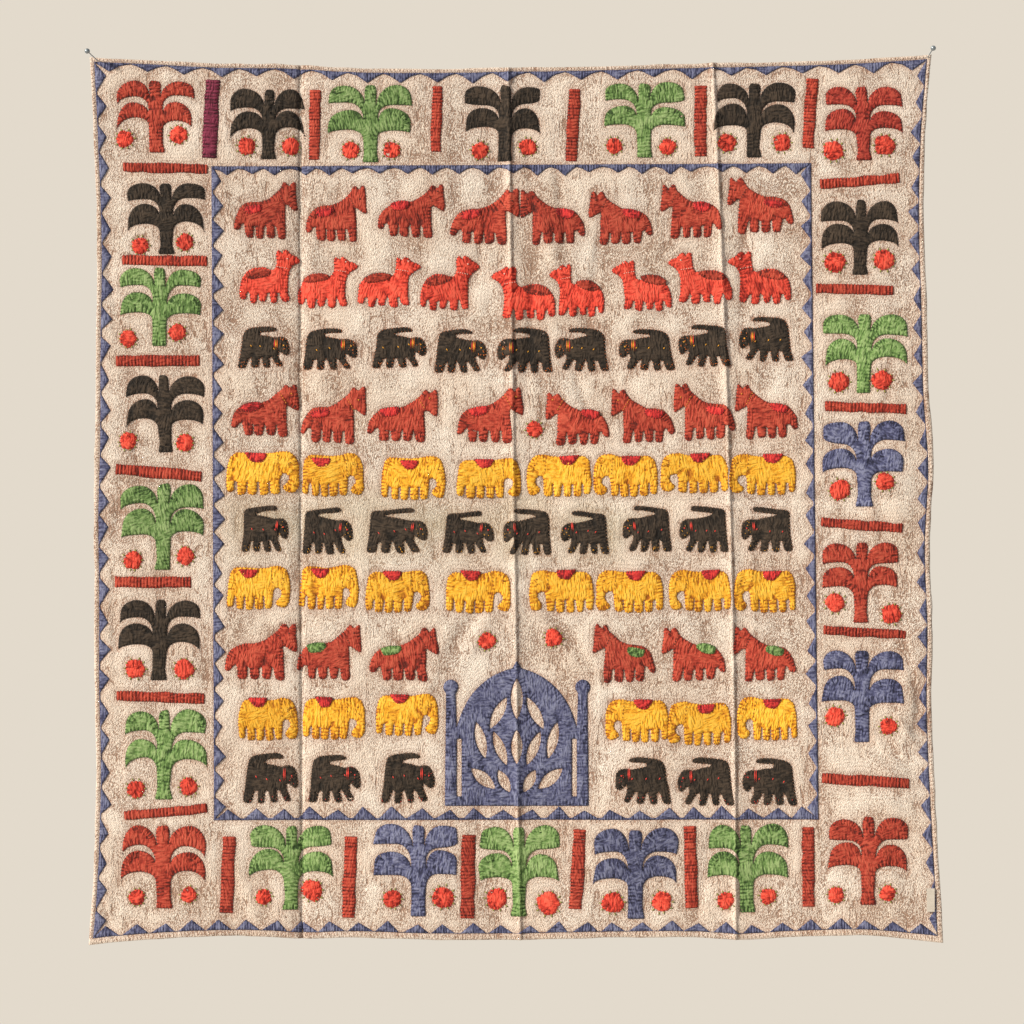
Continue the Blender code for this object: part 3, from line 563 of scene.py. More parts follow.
@dataclass(frozen=True)
class QuiltedCotton:
    """Unbleached cotton, quilted with rows of running stitch, stained by years and run dyes, with a painted
    shade beside the figures.

    It swells between the stitches in short strokes, upright in some places and slanted in others, with a weak
    wave along the rows, and has a painted shade in its pits.
    """

    name: str = "quilted cotton"
    colour: str = "F5EADF"
    pale: str = "FCF6EF"
    worn: str = "C9AB95"
    # colour of the painted shade in the low places of the quilting
    pit: str = "8C6852"
    # colour beside the figures: dye that has run, with a painted shade of their raised edges
    bleed: str = "C8A493"
    green_stain: str = "BDB99F"
    row_pitch: float = 4.4
    ripple: float = 0.98
    stroke: float = 1.3
    stroke_length: float = 1.6
    crease: float = 6.5
    crease_length: float = 4.5

    def material(self) -> bpy.types.Material:
        """Builds the material from noise and the cloth's own "echo", "figure" and "stain" values.

        Long thin creases lie where a noise that is drawn out downwards passes its middle.
        """
        material, node, shader = new_tree(self.name)
        place = node("TexCoord", out="Object")
        echo, figure, stain, pucker = (node("Attribute", out="Fac", attribute_name=name)
                                       for name in ("echo", "figure", "stain", "pucker"))
        broad, patchy, way = (node("TexNoise", {"Vector": place, "Scale": 1 / (size * MM), "Detail": detail})
                              for size, detail in ((90, 3.0), (22, 4.0), (130, 0.0)))
        drawn = [node("Mapping", {"Vector": place, "Rotation": (0.0, turn, 0.0), "Scale": (1.0, 1.0, length)},
                      vector_type="TEXTURE")
                 for turn, length in ((0.02, self.stroke_length), (0.55, self.stroke_length),
                                      (0.0, self.crease_length))]
        upright, slanted, level = (
            node("TexNoise", {"Vector": along, "Scale": 1 / (size * MM), "Detail": detail})
            for along, size, detail in zip(drawn, (self.stroke, self.stroke, self.crease), (3.0, 3.0, 1.0)))
        way = node("MapRange", (way, 0.40, 0.60))
        grain = node("Mix", {0: way, 2: slanted, 3: upright})
        # Swell between the rows, weaker and stronger from stitch to stitch
        turn = node("Math", (echo, math.tau / self.row_pitch), operation="MULTIPLY")
        wave = node("Math", (node("Math", (turn,), operation="COSINE"), -0.22), operation="MULTIPLY")
        swell = node("Math", (wave, node("MapRange", (grain, 0.40, 0.56))), operation="MULTIPLY")
        grains = node("MapRange", (grain, 0.37, 0.63, -0.5, 0.5))
        swell = node("Math", (grains, 1.15, swell), operation="MULTIPLY_ADD")
        level = node("Math", (node("Math", (level, 0.5), operation="SUBTRACT"),), operation="ABSOLUTE")
        line, here = node("MapRange", (level, 0.0, 0.05, 1.0, 0.0)), node("MapRange", (patchy, 0.44, 0.60))
        crease = node("Math", (line, here), operation="MULTIPLY")
        swell = node("Math", (crease, -0.75, swell), operation="MULTIPLY_ADD")
        # low places of the relief and of the puckers get a painted shade
        shaded_hollow = node("Math", (pucker, 0.5, swell), operation="MULTIPLY_ADD")
        colour = self.colour
        for share, other in ((node("MapRange", (broad, 0.35, 0.65)), self.pale),
                             (node("MapRange", (patchy, 0.48, 0.78, 0.0, 0.34)), self.worn),
                             (node("MapRange", (shaded_hollow, -0.12, -0.60, 0.0, 0.85)), self.pit),
                             (node("Math", (figure, 0.42), operation="MULTIPLY"), self.bleed),
                             (node("Math", (stain, 0.55), operation="MULTIPLY"), self.green_stain)):
            colour = node("Mix", {0: share, 6: colour, 7: other}, **COLOURS)
        bump = node("Bump", {"Height": swell, "Strength": 1.0, "Distance": self.ripple * MM})
        bump = node("Bump", {"Height": woven(node, 1.0), "Strength": 1.0, "Distance": 0.14 * MM,
                             "Normal": bump})
        feed(shader, {"Base Color": colour, "Normal": bump, "Roughness": 0.92, "Sheen Weight": 0.06})
        return material


@dataclass(frozen=True)
class Thread:
    """Cotton sewing thread: twisted, slightly glossier than the cloth."""

    name: str
    colour: str

    def material(self) -> bpy.types.Material:
        """Builds the material: the colour varies from stitch to stitch, with a twist as bump."""
        material, node, shader = new_tree(self.name)
        place = node("TexCoord", out="Object")
        shade, twist = (node("TexNoise", {"Vector": place, "Scale": 1 / (size * MM), "Detail": detail})
                        for size, detail in ((4, 2.0), (0.5, 1.0)))
        value = node("MapRange", (shade, 0.3, 0.7, 0.72, 1.2))
        bump = node("Bump", {"Height": twist, "Strength": 1.0, "Distance": 0.08 * MM})
        feed(shader, {"Base Color": node("HueSaturation", {"Value": value, "Color": self.colour}),
                      "Normal": bump, "Roughness": 0.7, "Sheen Weight": 0.1})
        return material


@dataclass(frozen=True)
class Tape:
    """Woven polyester label tape: smooth, dull white, with nothing on it."""

    name: str = "label tape"
    colour: str = "D9D6CF"
    greyed: str = "BDB9B2"
    rib: float = 1.6

    def material(self) -> bpy.types.Material:
        """Builds the material: a fine rib along the tape and slight greying."""
        material, node, shader = new_tree(self.name)
        place = node("TexCoord", out="Object")
        grey = node("TexNoise", {"Vector": place, "Scale": 1 / (6 * MM), "Detail": 3.0})
        rib = node("TexWave", {"Vector": place, "Scale": 1 / (self.rib * MM) / math.tau}, "Fac",
                   bands_direction="Z")
        feed(shader, {"Base Color": node("Mix", {0: grey, 6: self.colour, 7: self.greyed}, **COLOURS),
                      "Normal": node("Bump", {"Height": rib, "Strength": 1.0, "Distance": 0.06 * MM}),
                      "Roughness": 0.65})
        return material


@dataclass(frozen=True)
class BluedSteel:
    """Blued steel of a dressmaker's pin, rubbed pale: turned, polished, slightly scuffed."""

    name: str = "blued steel"
    colour: str = "A9B8C2"
    shaded: str = "7F8D98"

    def material(self) -> bpy.types.Material:
        """Builds the material: a metal whose roughness varies with fine scuffs."""
        material, node, shader = new_tree(self.name)
        place = node("TexCoord", out="Object")
        scuff, shade = (node("TexNoise", {"Vector": place, "Scale": 1 / (size * MM), "Detail": detail})
                        for size, detail in ((0.7, 3.0), (3, 1.0)))
        feed(shader, {"Base Color": node("Mix", {0: shade, 6: self.colour, 7: self.shaded}, **COLOURS),
                      "Roughness": node("MapRange", (scuff, 0.3, 0.7, 0.22, 0.42)), "Metallic": 0.6})
        return material


class Dye(Enum):
    """The cloths' finishes by colour: their own, a paler one for fading and painted highlight, and a darker
    one for dark patches and painted shade.
    """

    RUST = Cotton("rust cotton", "A63526", "C45844", "4A120C")
    DARK_RUST = Cotton("dark rust cotton", "932A22", "B0483A", "420E0A")
    SCARLET = Cotton("scarlet cotton", "DC4434", "F06450", "84160E")
    CRIMSON = Cotton("crimson cotton", "CA2E32", "E2483E", "6A0C12")
    YELLOW = Cotton("yellow cotton", "F0AE24", "FBCB4C", "9A500A")
    BLACK = Cotton("black cotton", "261F19", "483D33", "080504")
    GREEN = Cotton("green cotton", "688E4E", "9AB87E", "1E3A16")
    BLUE = Cotton("blue cotton", "4A5078", "8088AA", "141830")
    PURPLE = Cotton("purple cotton", "70203E", "8A3654", "2E0818")


class Yarn(Enum):
    """The threads' finishes by colour."""

    # darker than real cream thread: a painted shade for the shadowed stitch holes
    CREAM = Thread("cream thread", "B89A80")
    TAN = Thread("tan thread", "946E52")
    RUST = Thread("rust thread", "521810")
    BRONZE = Thread("bronze thread", "A86438")
    BLACK = Thread("black thread", "2A1E1A")
    OCHRE = Thread("ochre thread", "8C4C16")
    GREEN = Thread("green thread", "335A2A")
    OLIVE = Thread("olive thread", "8C9244")
    BLUE = Thread("blue thread", "2C3254")
    RED = Thread("red thread", "D83A30")
    YELLOW = Thread("yellow thread", "E8A82A")
    WHITE = Thread("white thread", "E8E0D4")
    ORANGE = Thread("orange thread", "E0782A")


_made: dict[str, bpy.types.Material] = {}


def material_of(finish: Cotton | QuiltedCotton | Thread | Tape | BluedSteel) -> bpy.types.Material:
    """The material of a finish, built once."""
    return _made.get(finish.name) or _made.setdefault(finish.name, finish.material())


# Meshes


@dataclass
class Pile:
    """Vertices, triangles and values of one piece, gathered part by part."""

    name: str
    finishes: list = field(default_factory=list)
    points: list[Array] = field(default_factory=list)
    faces: list[Array] = field(default_factory=list)
    slots: list[Array] = field(default_factory=list)
    values: dict[str, list[Array]] = field(default_factory=lambda: {"pucker": [], "tone": []})
    count: int = 0

    def add(self, points: Array, faces: Array, finish, **values: Array | float) -> None:
        """Adds one part.

        Args:
            points: places in metres.
            faces: vertex numbers, three or four to a face.
            finish: what the part is made of.
            values: a value for each vertex, or one for all, by name.
        """
        if finish not in self.finishes:
            self.finishes.append(finish)
        if faces.shape[1] == 4:
            faces = np.vstack([faces[:, [0, 1, 2]], faces[:, [0, 2, 3]]])
        self.points.append(points)
        self.faces.append(faces + self.count)
        self.slots.append(np.full(len(faces), self.finishes.index(finish)))
        for name, kept in self.values.items():
            kept.append(np.broadcast_to(np.asarray(values.get(name, 0.0), float), len(points)))
        self.count += len(points)

    def piece(self, slot: str, replaced: str = "") -> bpy.types.Object:
        """The finished object, on the hanging's one body, and the node that it replaces."""
        points, faces = np.vstack(self.points), np.vstack(self.faces)
        mesh = bpy.data.meshes.new(self.name)
        mesh.vertices.add(len(points))
        mesh.vertices.foreach_set("co", points.astype(np.float32).ravel())
        mesh.loops.add(faces.size)
        mesh.loops.foreach_set("vertex_index", faces.astype(np.int32).ravel())
        mesh.polygons.add(len(faces))
        mesh.polygons.foreach_set("loop_start", np.arange(0, faces.size, 3, dtype=np.int32))
        mesh.polygons.foreach_set("material_index", np.concatenate(self.slots).astype(np.int32))
        mesh.polygons.foreach_set("use_smooth", np.full(len(faces), True))
        mesh.update(calc_edges=True)
        for name, kept in self.values.items():
            values = mesh.attributes.new(name, "FLOAT", "POINT")
            values.data.foreach_set("value", np.concatenate(kept).astype(np.float32))
        for finish in self.finishes:
            mesh.materials.append(material_of(finish))
        obj = bpy.data.objects.new(self.name, mesh)
        bpy.context.scene.collection.objects.link(obj)
        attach(obj, "root")
        if replaced:
            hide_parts(replaced)
        log.info("%s: %d triangles", self.name, len(faces))
        return obj


def grid_faces(rows: int, columns: int) -> Array:
    """Four-sided faces of a grid, facing out of the wall."""
    at = np.arange(rows * columns).reshape(rows, columns)
    corners = (at[:-1, :-1], at[1:, :-1], at[1:, 1:], at[:-1, 1:])
    return np.stack([corner.ravel() for corner in corners], axis=1)


def stitch_mesh(start: Array, end: Array, rise: Array | float, width: Array | float) -> tuple[Array, Array]:
    """Stitches as slim grains, six triangles each.

    Each has a point at both ends, and half-way a left, a right and a raised point, which
    stands rise out of the wall from the middle of the two ends.

    Args:
        start, end: places in metres.
        rise: height of the raised point in mm.
        width: the stitch's width in mm.

    Returns:
        Points and triangles.
    """
    way = end - start
    side = np.stack([way[:, 2], np.zeros(len(way)), -way[:, 0]], axis=1)
    side /= np.maximum(np.linalg.norm(side, axis=1, keepdims=True), 1e-9)
    side *= np.reshape(width, (-1, 1)) * MM / 2
    middle = (start + end) / 2
    out = np.zeros_like(middle)
    out[:, 1] = -np.asarray(rise) * MM
    low = middle + out * 0.3
    points = np.stack([start, end, low - side, low + side, middle + out], axis=1)
    faces = np.array([[0, 4, 2], [0, 3, 4], [1, 2, 4], [1, 4, 3], [0, 2, 3], [1, 3, 2]])
    base = np.arange(len(start))[:, None, None] * 5
    return points.reshape(-1, 3), (faces[None] + base).reshape(-1, 3)


# The quilted ground


class EchoField:
    """Distances from the figures over the whole cloth, which the quilting follows.

    The field is a raster of square cells. Each cell knows whether it lies in a figure,
    its distance to the nearest outline and the same distance with a slow wobble, which
    the rows of stitches follow.
    """

    step = 1.25
    margin = 20.0
    wobble = 7.0

    def __init__(self, hanging: Hanging, loops: list[Loop]) -> None:
        self.left = hanging.bottom_left[0] - self.margin
        self.top = hanging.top_right[1] - self.margin
        columns = int((hanging.bottom_right[0] + self.margin - self.left) / self.step)
        rows = int((hanging.bottom_left[1] + self.margin - self.top) / self.step)
        self.across, self.drop = np.meshgrid(self.left + np.arange(columns) * self.step,
                                             self.top + np.arange(rows) * self.step)
        outlines = [loop.resampled(0.5)[0] for loop in loops]
        self.inside = self._filled(outlines)
        self.outside = np.where(self.inside, 0.0, self._flooded(np.vstack(outlines)))
        wobble = self.wobble * cloud(self.across, self.drop, 62.0, 5) + cloud(self.across, self.drop, 21.0, 6)
        self.echo = self.outside + wobble * (1 - np.exp(-self.outside / 4.0))

    def _filled(self, outlines: list[Array]) -> Array:
        """Cells inside an outline: the count of crossings to their left is odd."""
        toggles = np.zeros(self.across.shape, int)
        for points in outlines:
            after = np.roll(points, -1, axis=0)
            row, row_after = (np.floor((p[:, 1] - self.top) / self.step).astype(int) for p in (points, after))
            crossing = row != row_after
            column = np.ceil((points[crossing, 0] - self.left) / self.step).astype(int)
            np.add.at(toggles, (np.maximum(row, row_after)[crossing], column), 1)
        return np.cumsum(toggles, axis=1) % 2 == 1

    def _flooded(self, seeds: Array) -> Array:
        """Jump flooding: each cell takes the nearest of the seeds known 64, 32, ... 1 cells away."""
        known = np.full((2, *self.across.shape), 1e5, np.float32)
        column = np.round((seeds[:, 0] - self.left) / self.step).astype(int)
        row = np.round((seeds[:, 1] - self.top) / self.step).astype(int)
        known[:, row, column] = seeds.T
        x, y = self.across.astype(np.float32), self.drop.astype(np.float32)
        best = (x - known[0]) ** 2 + (y - known[1]) ** 2
        rows, columns = x.shape
        jump = 64
        while jump:
            for down, right in ((a, b) for a in (-jump, 0, jump) for b in (-jump, 0, jump) if a or b):
                to = (slice(max(0, down), rows + min(0, down)), slice(max(0, right), columns + min(0, right)))
                of = (slice(max(0, -down), rows + min(0, -down)),
                      slice(max(0, -right), columns + min(0, -right)))
                gap = (x[to] - known[0][of]) ** 2 + (y[to] - known[1][of]) ** 2
                closer = gap < best[to]
                best[to][closer] = gap[closer]
                for axis in (0, 1):
                    known[axis][to][closer] = known[axis][of][closer]
            jump //= 2
        return np.sqrt(best)

    def read(self, values: Array, across: Array, drop: Array) -> Array:
        """Values of the raster at any place, straight between the cells."""
        x = np.clip((across - self.left) / self.step, 0, values.shape[1] - 1.001)
        y = np.clip((drop - self.top) / self.step, 0, values.shape[0] - 1.001)
        column, row = x.astype(int), y.astype(int)
        u, v = x - column, y - row
        upper = between(values[row, column], values[row, column + 1], u)
        lower = between(values[row + 1, column], values[row + 1, column + 1], u)
        return between(upper, lower, v)


@dataclass(frozen=True)
class Ruling:
    """Grid lines between guide lines: a pair of guides, a share of the way and an offset."""

    pair: Array
    share: Array
    offset: Array
    tilt: Array

    @classmethod
    def between_guides(cls, befores: list[list[float]], afters: list[list[float]], counts: list[int],
                       roll: list[tuple[float, float]]) -> "Ruling":
        """Rules each span between two guides.

        Args:
            befores: offsets after the first guide, for each span.
            afters: offsets before the second guide, for each span.
            counts: how many even steps fill the rest of each span.
            roll: inset and tilt in degrees of the lines that turn round the outer edges.

        Returns:
            The ruling, from edge to edge.
        """
        rows: list[tuple[int, float, float, float]] = [(0, 0.0, inset, tilt) for inset, tilt in roll]
        for span, (before, after, count) in enumerate(zip(befores, afters, counts)):
            rows += [(span, 0.0, offset, 0.0) for offset in before]
            first, last = (before or [0.0])[-1], (after or [0.0])[-1]
            for step in range(1, count):
                share = step / count
                rows.append((span, share, first * (1 - share) - last * share, 0.0))
            rows += [(span, 1.0, -offset, 0.0) for offset in reversed(after)]
        rows += [(len(counts) - 1, 1.0, -inset, tilt) for inset, tilt in reversed(roll)]
        pair, share, offset, tilt = np.array(rows).T
        return cls(pair.astype(int), share, offset, tilt)

    def across_guides(self, guides: Array) -> Array:
        """Places of the lines, where guides holds the guide lines along its last axis."""
        first, last = guides[..., self.pair], guides[..., self.pair + 1]
        return between(first, last, self.share) + self.offset


@dataclass
class QuiltedCloth:
    """The ground: a front and a back of cotton sewn together, with turned hems."""

    hanging: Hanging
    echo: EchoField
    cell: float = 3.8
    back_cell: float = 8.0
    roll_radius: float = 1.5
    roll_tilts: tuple[float, ...] = (160.0, 115.0, 70.0, 30.0)
    hem_steps: tuple[float, ...] = (3.2,)
    beside_fold: tuple[float, ...] = (1.0, 2.2, 3.8, 6.0, 9.0, 12.5)
    flat_hem: float = 9.0
    fades_in: float = 4.0
    trough: float = 0.35
    trough_reach: float = 2.5
    wave: float = 0.7
    wave_reach: float = 6.0
    row_pitch: float = 5.8
    stitch_length: float = 3.1
    stitch_width: float = 0.9
    stitch_turn: float = 0.16
    on_line: float = 0.65
    least_slope: float = 0.6
    clear_of_edge: float = 10.0
    hem_pitch: float = 5.0
    hem_corner: float = 12.0
    stain_drop: float = 575.0
    stain_half: float = 46.0
    stain_across: tuple[float, float] = (-390.0, 215.0)
    stain_fade: tuple[float, float] = (60.0, 90.0)
    bleed_reach: float = 5.0

    def relief(self, across: Array, drop: Array, edge: Array | float = math.inf) -> Array:
        """Height of the quilting over the plain front.

        Four sizes of noise, the last two drawn out downwards, all faded out beside the
        figures, where the cloth sinks in a trough of e to minus the distance, and flatter
        near the edge.
        """
        outside = self.echo.read(self.echo.outside, across, drop)
        uneven = sum(height * cloud(across, drop * drawn, size, seed) for height, drawn, size, seed in (
            (0.26, 1.0, 5.5, 2), (0.40, 1.0, 19.0, 3), (0.32, 0.35, 7.5, 4), (0.70, 0.3, 24.0, 12)))
        trough = self.trough * np.exp(-outside / self.trough_reach)
        uneven = uneven * (1 - np.exp(-outside / self.fades_in)) - trough
        return uneven * np.clip(edge / self.flat_hem, 0.35, 1)

    def hem_height(self, across: Array, drop: Array) -> tuple[Array, Array]:
        """How far the hem stands proud, and the distance to the nearest edge."""
        hanging = self.hanging
        distances = (drop - hanging.top(across), hanging.right(drop) - across,
                     hanging.bottom(across) - drop, across - hanging.left(drop))
        proud = np.zeros_like(across)
        for distance, hem in zip(distances, hanging.hems):
            step = np.clip((hem + hanging.hem_slope - distance) / hanging.hem_slope, 0, 1)
            proud = np.maximum(proud, hanging.hem_extra * step)
        return proud, np.minimum.reduce(distances)

    def ruled(self, cell: float, roll: list[tuple[float, float]],
              fine: bool) -> tuple[Array, Array, Array, Array]:
        """Across, drop and tilt of the grid's points, columns and rows set by the guides."""
        hanging = self.hanging
        beside = list(self.beside_fold if fine else self.beside_fold[2::3])
        hems = []
        for hem in hanging.hems:
            rest = [hem - 0.4, hem + hanging.hem_slope, hem + hanging.hem_slope + 1.6]
            hems.append([*self.hem_steps, *rest] if fine else [4.0])
        top, right, bottom, left = hems
        width = (hanging.top_right[0] - hanging.top_left[0]) / 4
        height = hanging.bottom_left[1] / 2
        columns = Ruling.between_guides(
            [left, beside, beside, beside], [beside, beside, beside, right],
            [round((width - 2 * beside[-1]) / cell)] * 4, roll)
        rows = Ruling.between_guides(
            [top, beside[:4:2]], [beside[:4:2], bottom], [round(height / cell)] * 2, roll)
        rough = rows.across_guides(np.array([hanging.top(0.0), hanging.cross(0.0), hanging.bottom(0.0)]))
        across = columns.across_guides(np.stack(hanging.guide_columns(rough), axis=-1))
        guides = np.stack([hanging.top(across), hanging.cross(across), hanging.bottom(across)])
        row = np.arange(len(rough))
        first, last = guides[rows.pair, row], guides[rows.pair + 1, row]
        drop = between(first, last, rows.share[:, None]) + rows.offset[:, None]
        tilt = np.maximum(columns.tilt[None, :], rows.tilt[:, None])
        return across, drop, tilt, self.hem_height(across, drop)[1]

    def front(self) -> bpy.types.Object:
        """The front sheet. Past its edge it rolls round a small radius to the back."""
        radius = self.roll_radius
        roll = [(radius * (1 - math.sin(math.radians(tilt))), tilt) for tilt in self.roll_tilts]
        across, drop, tilt, edge = self.ruled(self.cell, roll, fine=True)
        relief = self.relief(across, drop, edge)
        height = self.hanging.half_thick + self.hem_height(across, drop)[0] + relief
        height = np.where(tilt > 0, radius * np.cos(np.radians(tilt)), height)
        wavy = np.clip(1 - edge / self.wave_reach, 0, 1) * self.wave
        across = across + wavy * cloud(across, drop, 21.0, 8)
        drop = drop + wavy * cloud(across, drop, 23.0, 9)
        inside = np.clip((across - self.stain_across[0]) / self.stain_fade[0], 0, 1) * np.clip(
            (self.stain_across[1] - across) / self.stain_fade[1], 0, 1)
        stain = np.exp(-(((drop - self.stain_drop) / self.stain_half) ** 2)) * inside
        stain = np.clip(stain * (0.6 + 0.4 * cloud(across, drop, 30.0, 11)), 0, 1)
        # darker beside the figures: run dye and a painted shade of their raised edges
        bleed_and_shade_share = np.exp(-self.echo.read(self.echo.outside, across, drop) / self.bleed_reach)
        # the relief and the folds' painted light go into the colour as painted light and shade
        shade = np.clip(relief / 0.9 + self.hanging.wear(across, drop), -1.6, 1)
        obj = self._sheet("quilted_ground", across, drop, height, 1, pucker=shade, figure=bleed_and_shade_share, stain=stain)
        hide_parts("ground_cloth")
        return obj

    def back(self) -> bpy.types.Object:
        """The back sheet, whose rim lies inside the front's rolled edge."""
        across, drop, _, edge = self.ruled(self.back_cell, [(0.9, 0.0)], fine=False)
        relief = 0.6 * self.relief(across, drop)
        height = -self.hanging.half_thick - np.clip(relief + 0.2, 0, 1)
        height = np.where(edge < 1.5, -1.35, height)
        # the back's relief goes into its colour as painted shade
        return self._sheet("quilted_back", across, drop, height, -1, pucker=np.clip(relief, -1, 1))

    def _sheet(self, name: str, across: Array, drop: Array, height: Array, way: int,
               **values: Array) -> bpy.types.Object:
        """A sheet from the grid's places and heights, facing forwards (1) or back (-1)."""
        pile = Pile(name, values={name: [] for name in ("pucker", "echo", "figure", "stain")})
        values["echo"] = self.echo.read(self.echo.echo, across, drop)
        pile.add(self.hanging.place(across, drop, height).reshape(-1, 3), grid_faces(*across.shape)[:, ::way],
                 QuiltedCotton(), **{name: value.ravel() for name, value in values.items()})
        return pile.piece("ground")

    def running_stitches(self) -> bpy.types.Object:
        """Rows of running stitch: grains on the lines where the echo is a whole row.

        Of the cells that a line passes, one is kept where its random number is the
        largest for two cells round, so that the stitches stand about 5 mm apart.
        """
        field_ = self.echo
        level = np.round(field_.echo / self.row_pitch)
        off = field_.echo - level * self.row_pitch
        _, edge = self.hem_height(field_.across, field_.drop)
        slope_y, slope_x = np.gradient(field_.echo, field_.step)
        steep = np.hypot(slope_x, slope_y)
        near = (np.abs(off) < self.on_line) & (level >= 1) & (steep > self.least_slope)
        near &= ~field_.inside & (edge > self.clear_of_edge)
        luck = np.random.default_rng(21).random(near.shape) * near
        largest = luck.copy()
        for down in range(-2, 3):
            for right in range(-2, 3):
                largest = np.maximum(largest, np.roll(luck, (down, right), axis=(0, 1)))
        kept = near & (luck == largest)
        slope = np.stack([slope_x[kept], slope_y[kept]], axis=1) / steep[kept, None]
        centre = np.stack([field_.across[kept], field_.drop[kept]], axis=1) - slope * off[kept, None]
        chance = np.random.default_rng(22)
        turn = chance.normal(0, self.stitch_turn, len(centre))
        way = np.stack([-slope[:, 1], slope[:, 0]], axis=1)
        way = way * np.cos(turn)[:, None] + slope * np.sin(turn)[:, None]
        half = way * (self.stitch_length / 2 * chance.uniform(0.7, 1.15, len(centre)))[:, None]
        pile = Pile("running_stitches")
        # the darkened cream thread is a painted shade for the shadowed stitch holes
        pile.add(*self.laid(centre - half, centre + half, 0.32, -0.1), Yarn.CREAM.value)
        return pile.piece("thread")

    def hem_stitches(self) -> bpy.types.Object:
        """Slanted whip stitches from near the hem's outer edge over its inner line, dark."""
        hanging = self.hanging
        corners = [hanging.top_left, hanging.top_right, hanging.bottom_right, hanging.bottom_left]
        pile = Pile("hem_stitches")
        chance = np.random.default_rng(31)
        for side, (start, end) in enumerate(zip(corners, corners[1:] + corners[:1])):
            length = math.dist(start, end)
            count = int(length / self.hem_pitch)
            share = (np.arange(count) + chance.uniform(0.35, 0.65, count)) / count
            across, drop = (between(start[axis], end[axis], share) for axis in (0, 1))
            along = np.array(end) - np.array(start)
            along = along / length
            inwards = np.array([-along[1], along[0]])
            if side in (0, 2):
                drop = (hanging.top if side == 0 else hanging.bottom)(across)
            else:
                across = (hanging.right if side == 1 else hanging.left)(drop)
            edge = np.stack([across, drop], axis=1)
            hem = hanging.hems[side]
            first = edge + inwards * 0.9 + along * chance.uniform(-0.4, 0.4, count)[:, None]
            last = edge + inwards * (hem + 0.6) + along * chance.uniform(0.8, 1.8, count)[:, None]
            keep = (share * length > self.hem_corner) & ((1 - share) * length > self.hem_corner)
            # the tan here is a painted shade for the shadowed ticks across the hem
            pile.add(*self.laid(first[keep], last[keep], 0.3, 0.6), Yarn.TAN.value)
        return pile.piece("thread")

    def laid(self, start: Array, end: Array, rise: float, height: float) -> tuple[Array, Array]:
        """Stitches between places on the front, their ends that height over its plain face."""
        places = []
        for across, drop in (start.T, end.T):
            relief = self.relief(across, drop, self.hem_height(across, drop)[1])
            places.append(self.hanging.place(across, drop, self.hanging.half_thick + relief + height))
        return stitch_mesh(*places, rise, self.stitch_width)


# Sewn-on pieces


def ridge(phase: Array) -> Array:
    """Height of the cloth between whip stitches: |sin(pi phase)|^0.7, nought at each stitch."""
    return np.abs(np.sin(math.pi * phase)) ** 0.7


@dataclass(frozen=True)
class Sewing:
    """How a cut piece is sewn down: its rise, its puff and the puckers its stitches draw.

    Each whip stitch pulls a groove into the piece. A groove is deepest at the edge and
    dies away over its own reach, short for most stitches and long for a few.
    """

    pitch: float = 4.2
    parts: int = 3
    rings: tuple[float, ...] = (0.9, 2.4, 4.5, 7.2)
    columns: tuple[float, ...] = (0.0, 0.10, 0.27, 0.5, 0.73, 0.90, 1.0)
    lattice: float = 2.6
    lift: float = 0.9
    edge_round: float = 0.7
    puff: float = 0.75
    puff_reach: float = 5.0
    groove: float = 1.15
    reach: float = 6.0
    reach_gain: float = 12.0
    weakest: float = 0.2
    strongest: float = 1.3
    drift: float = 6.0
    steady: float = 0.25
    tones: float = 1.0
    fine_rough: float = 0.16
    rough: float = 0.20
    scallop: float = 0.9
    overhang: float = 0.2
    sunk: float = -0.4
    base: float = 0.0
    narrowest: float = 3.0
    stitch_out: float = 0.8
    stitch_in: float = 2.0
    stitch_slant: float = 0.35
    stitch_width: float = 0.9

    def reaches(self, count: int, chance: np.random.Generator) -> Array:
        """How far each stitch's groove reaches into the piece."""
        return self.reach + self.reach_gain * chance.random(count) ** 1.5

    def pulls(self, count: int, chance: np.random.Generator) -> Array:
        """How hard each stitch pulls: a share of its own times one that drifts along the edge."""
        knots = max(3, round(count / self.drift))
        drift = chance.random(knots)
        drift = np.interp(np.arange(count) * knots / count, np.arange(knots + 1), np.append(drift, drift[0]))
        return chance.uniform(self.weakest, self.strongest, count) * between(1.6 * drift, 1.0, self.steady)

    def shade(self, rough: Array, groove: Array, distance: Array, wear: Array) -> Array:
        """How much painted highlight (above 0) or painted shade (below 0) the dye gets.

        The crests get a painted highlight, the grooves and the turned edge a painted shade, by e to minus the
        distance, and the folds' painted light is added.
        """
        # painted highlight on rough crests, painted shade in the grooves and at the turned edge
        shade = 0.35 + 1.5 * rough - 2.0 * groove - 0.9 * np.exp(-distance / 0.7) + wear
        return np.clip(shade, -1.3, 1)

    def rise(self, distance: Array, groove: Array) -> Array:
        """Height over the ground at a distance from the edge.

        lift (1 - e^(-d/round)) + puff (1 - e^(-d/puff reach)), less a share of that and
        of the groove's own depth where groove is up to 1.
        """
        high = self.lift * (1 - np.exp(-distance / self.edge_round))
        high = high + self.puff * (1 - np.exp(-distance / self.puff_reach))
        return high * (1 - 0.55 * groove) - self.groove * groove * (1 - np.exp(-distance / 1.5)) * 0.6


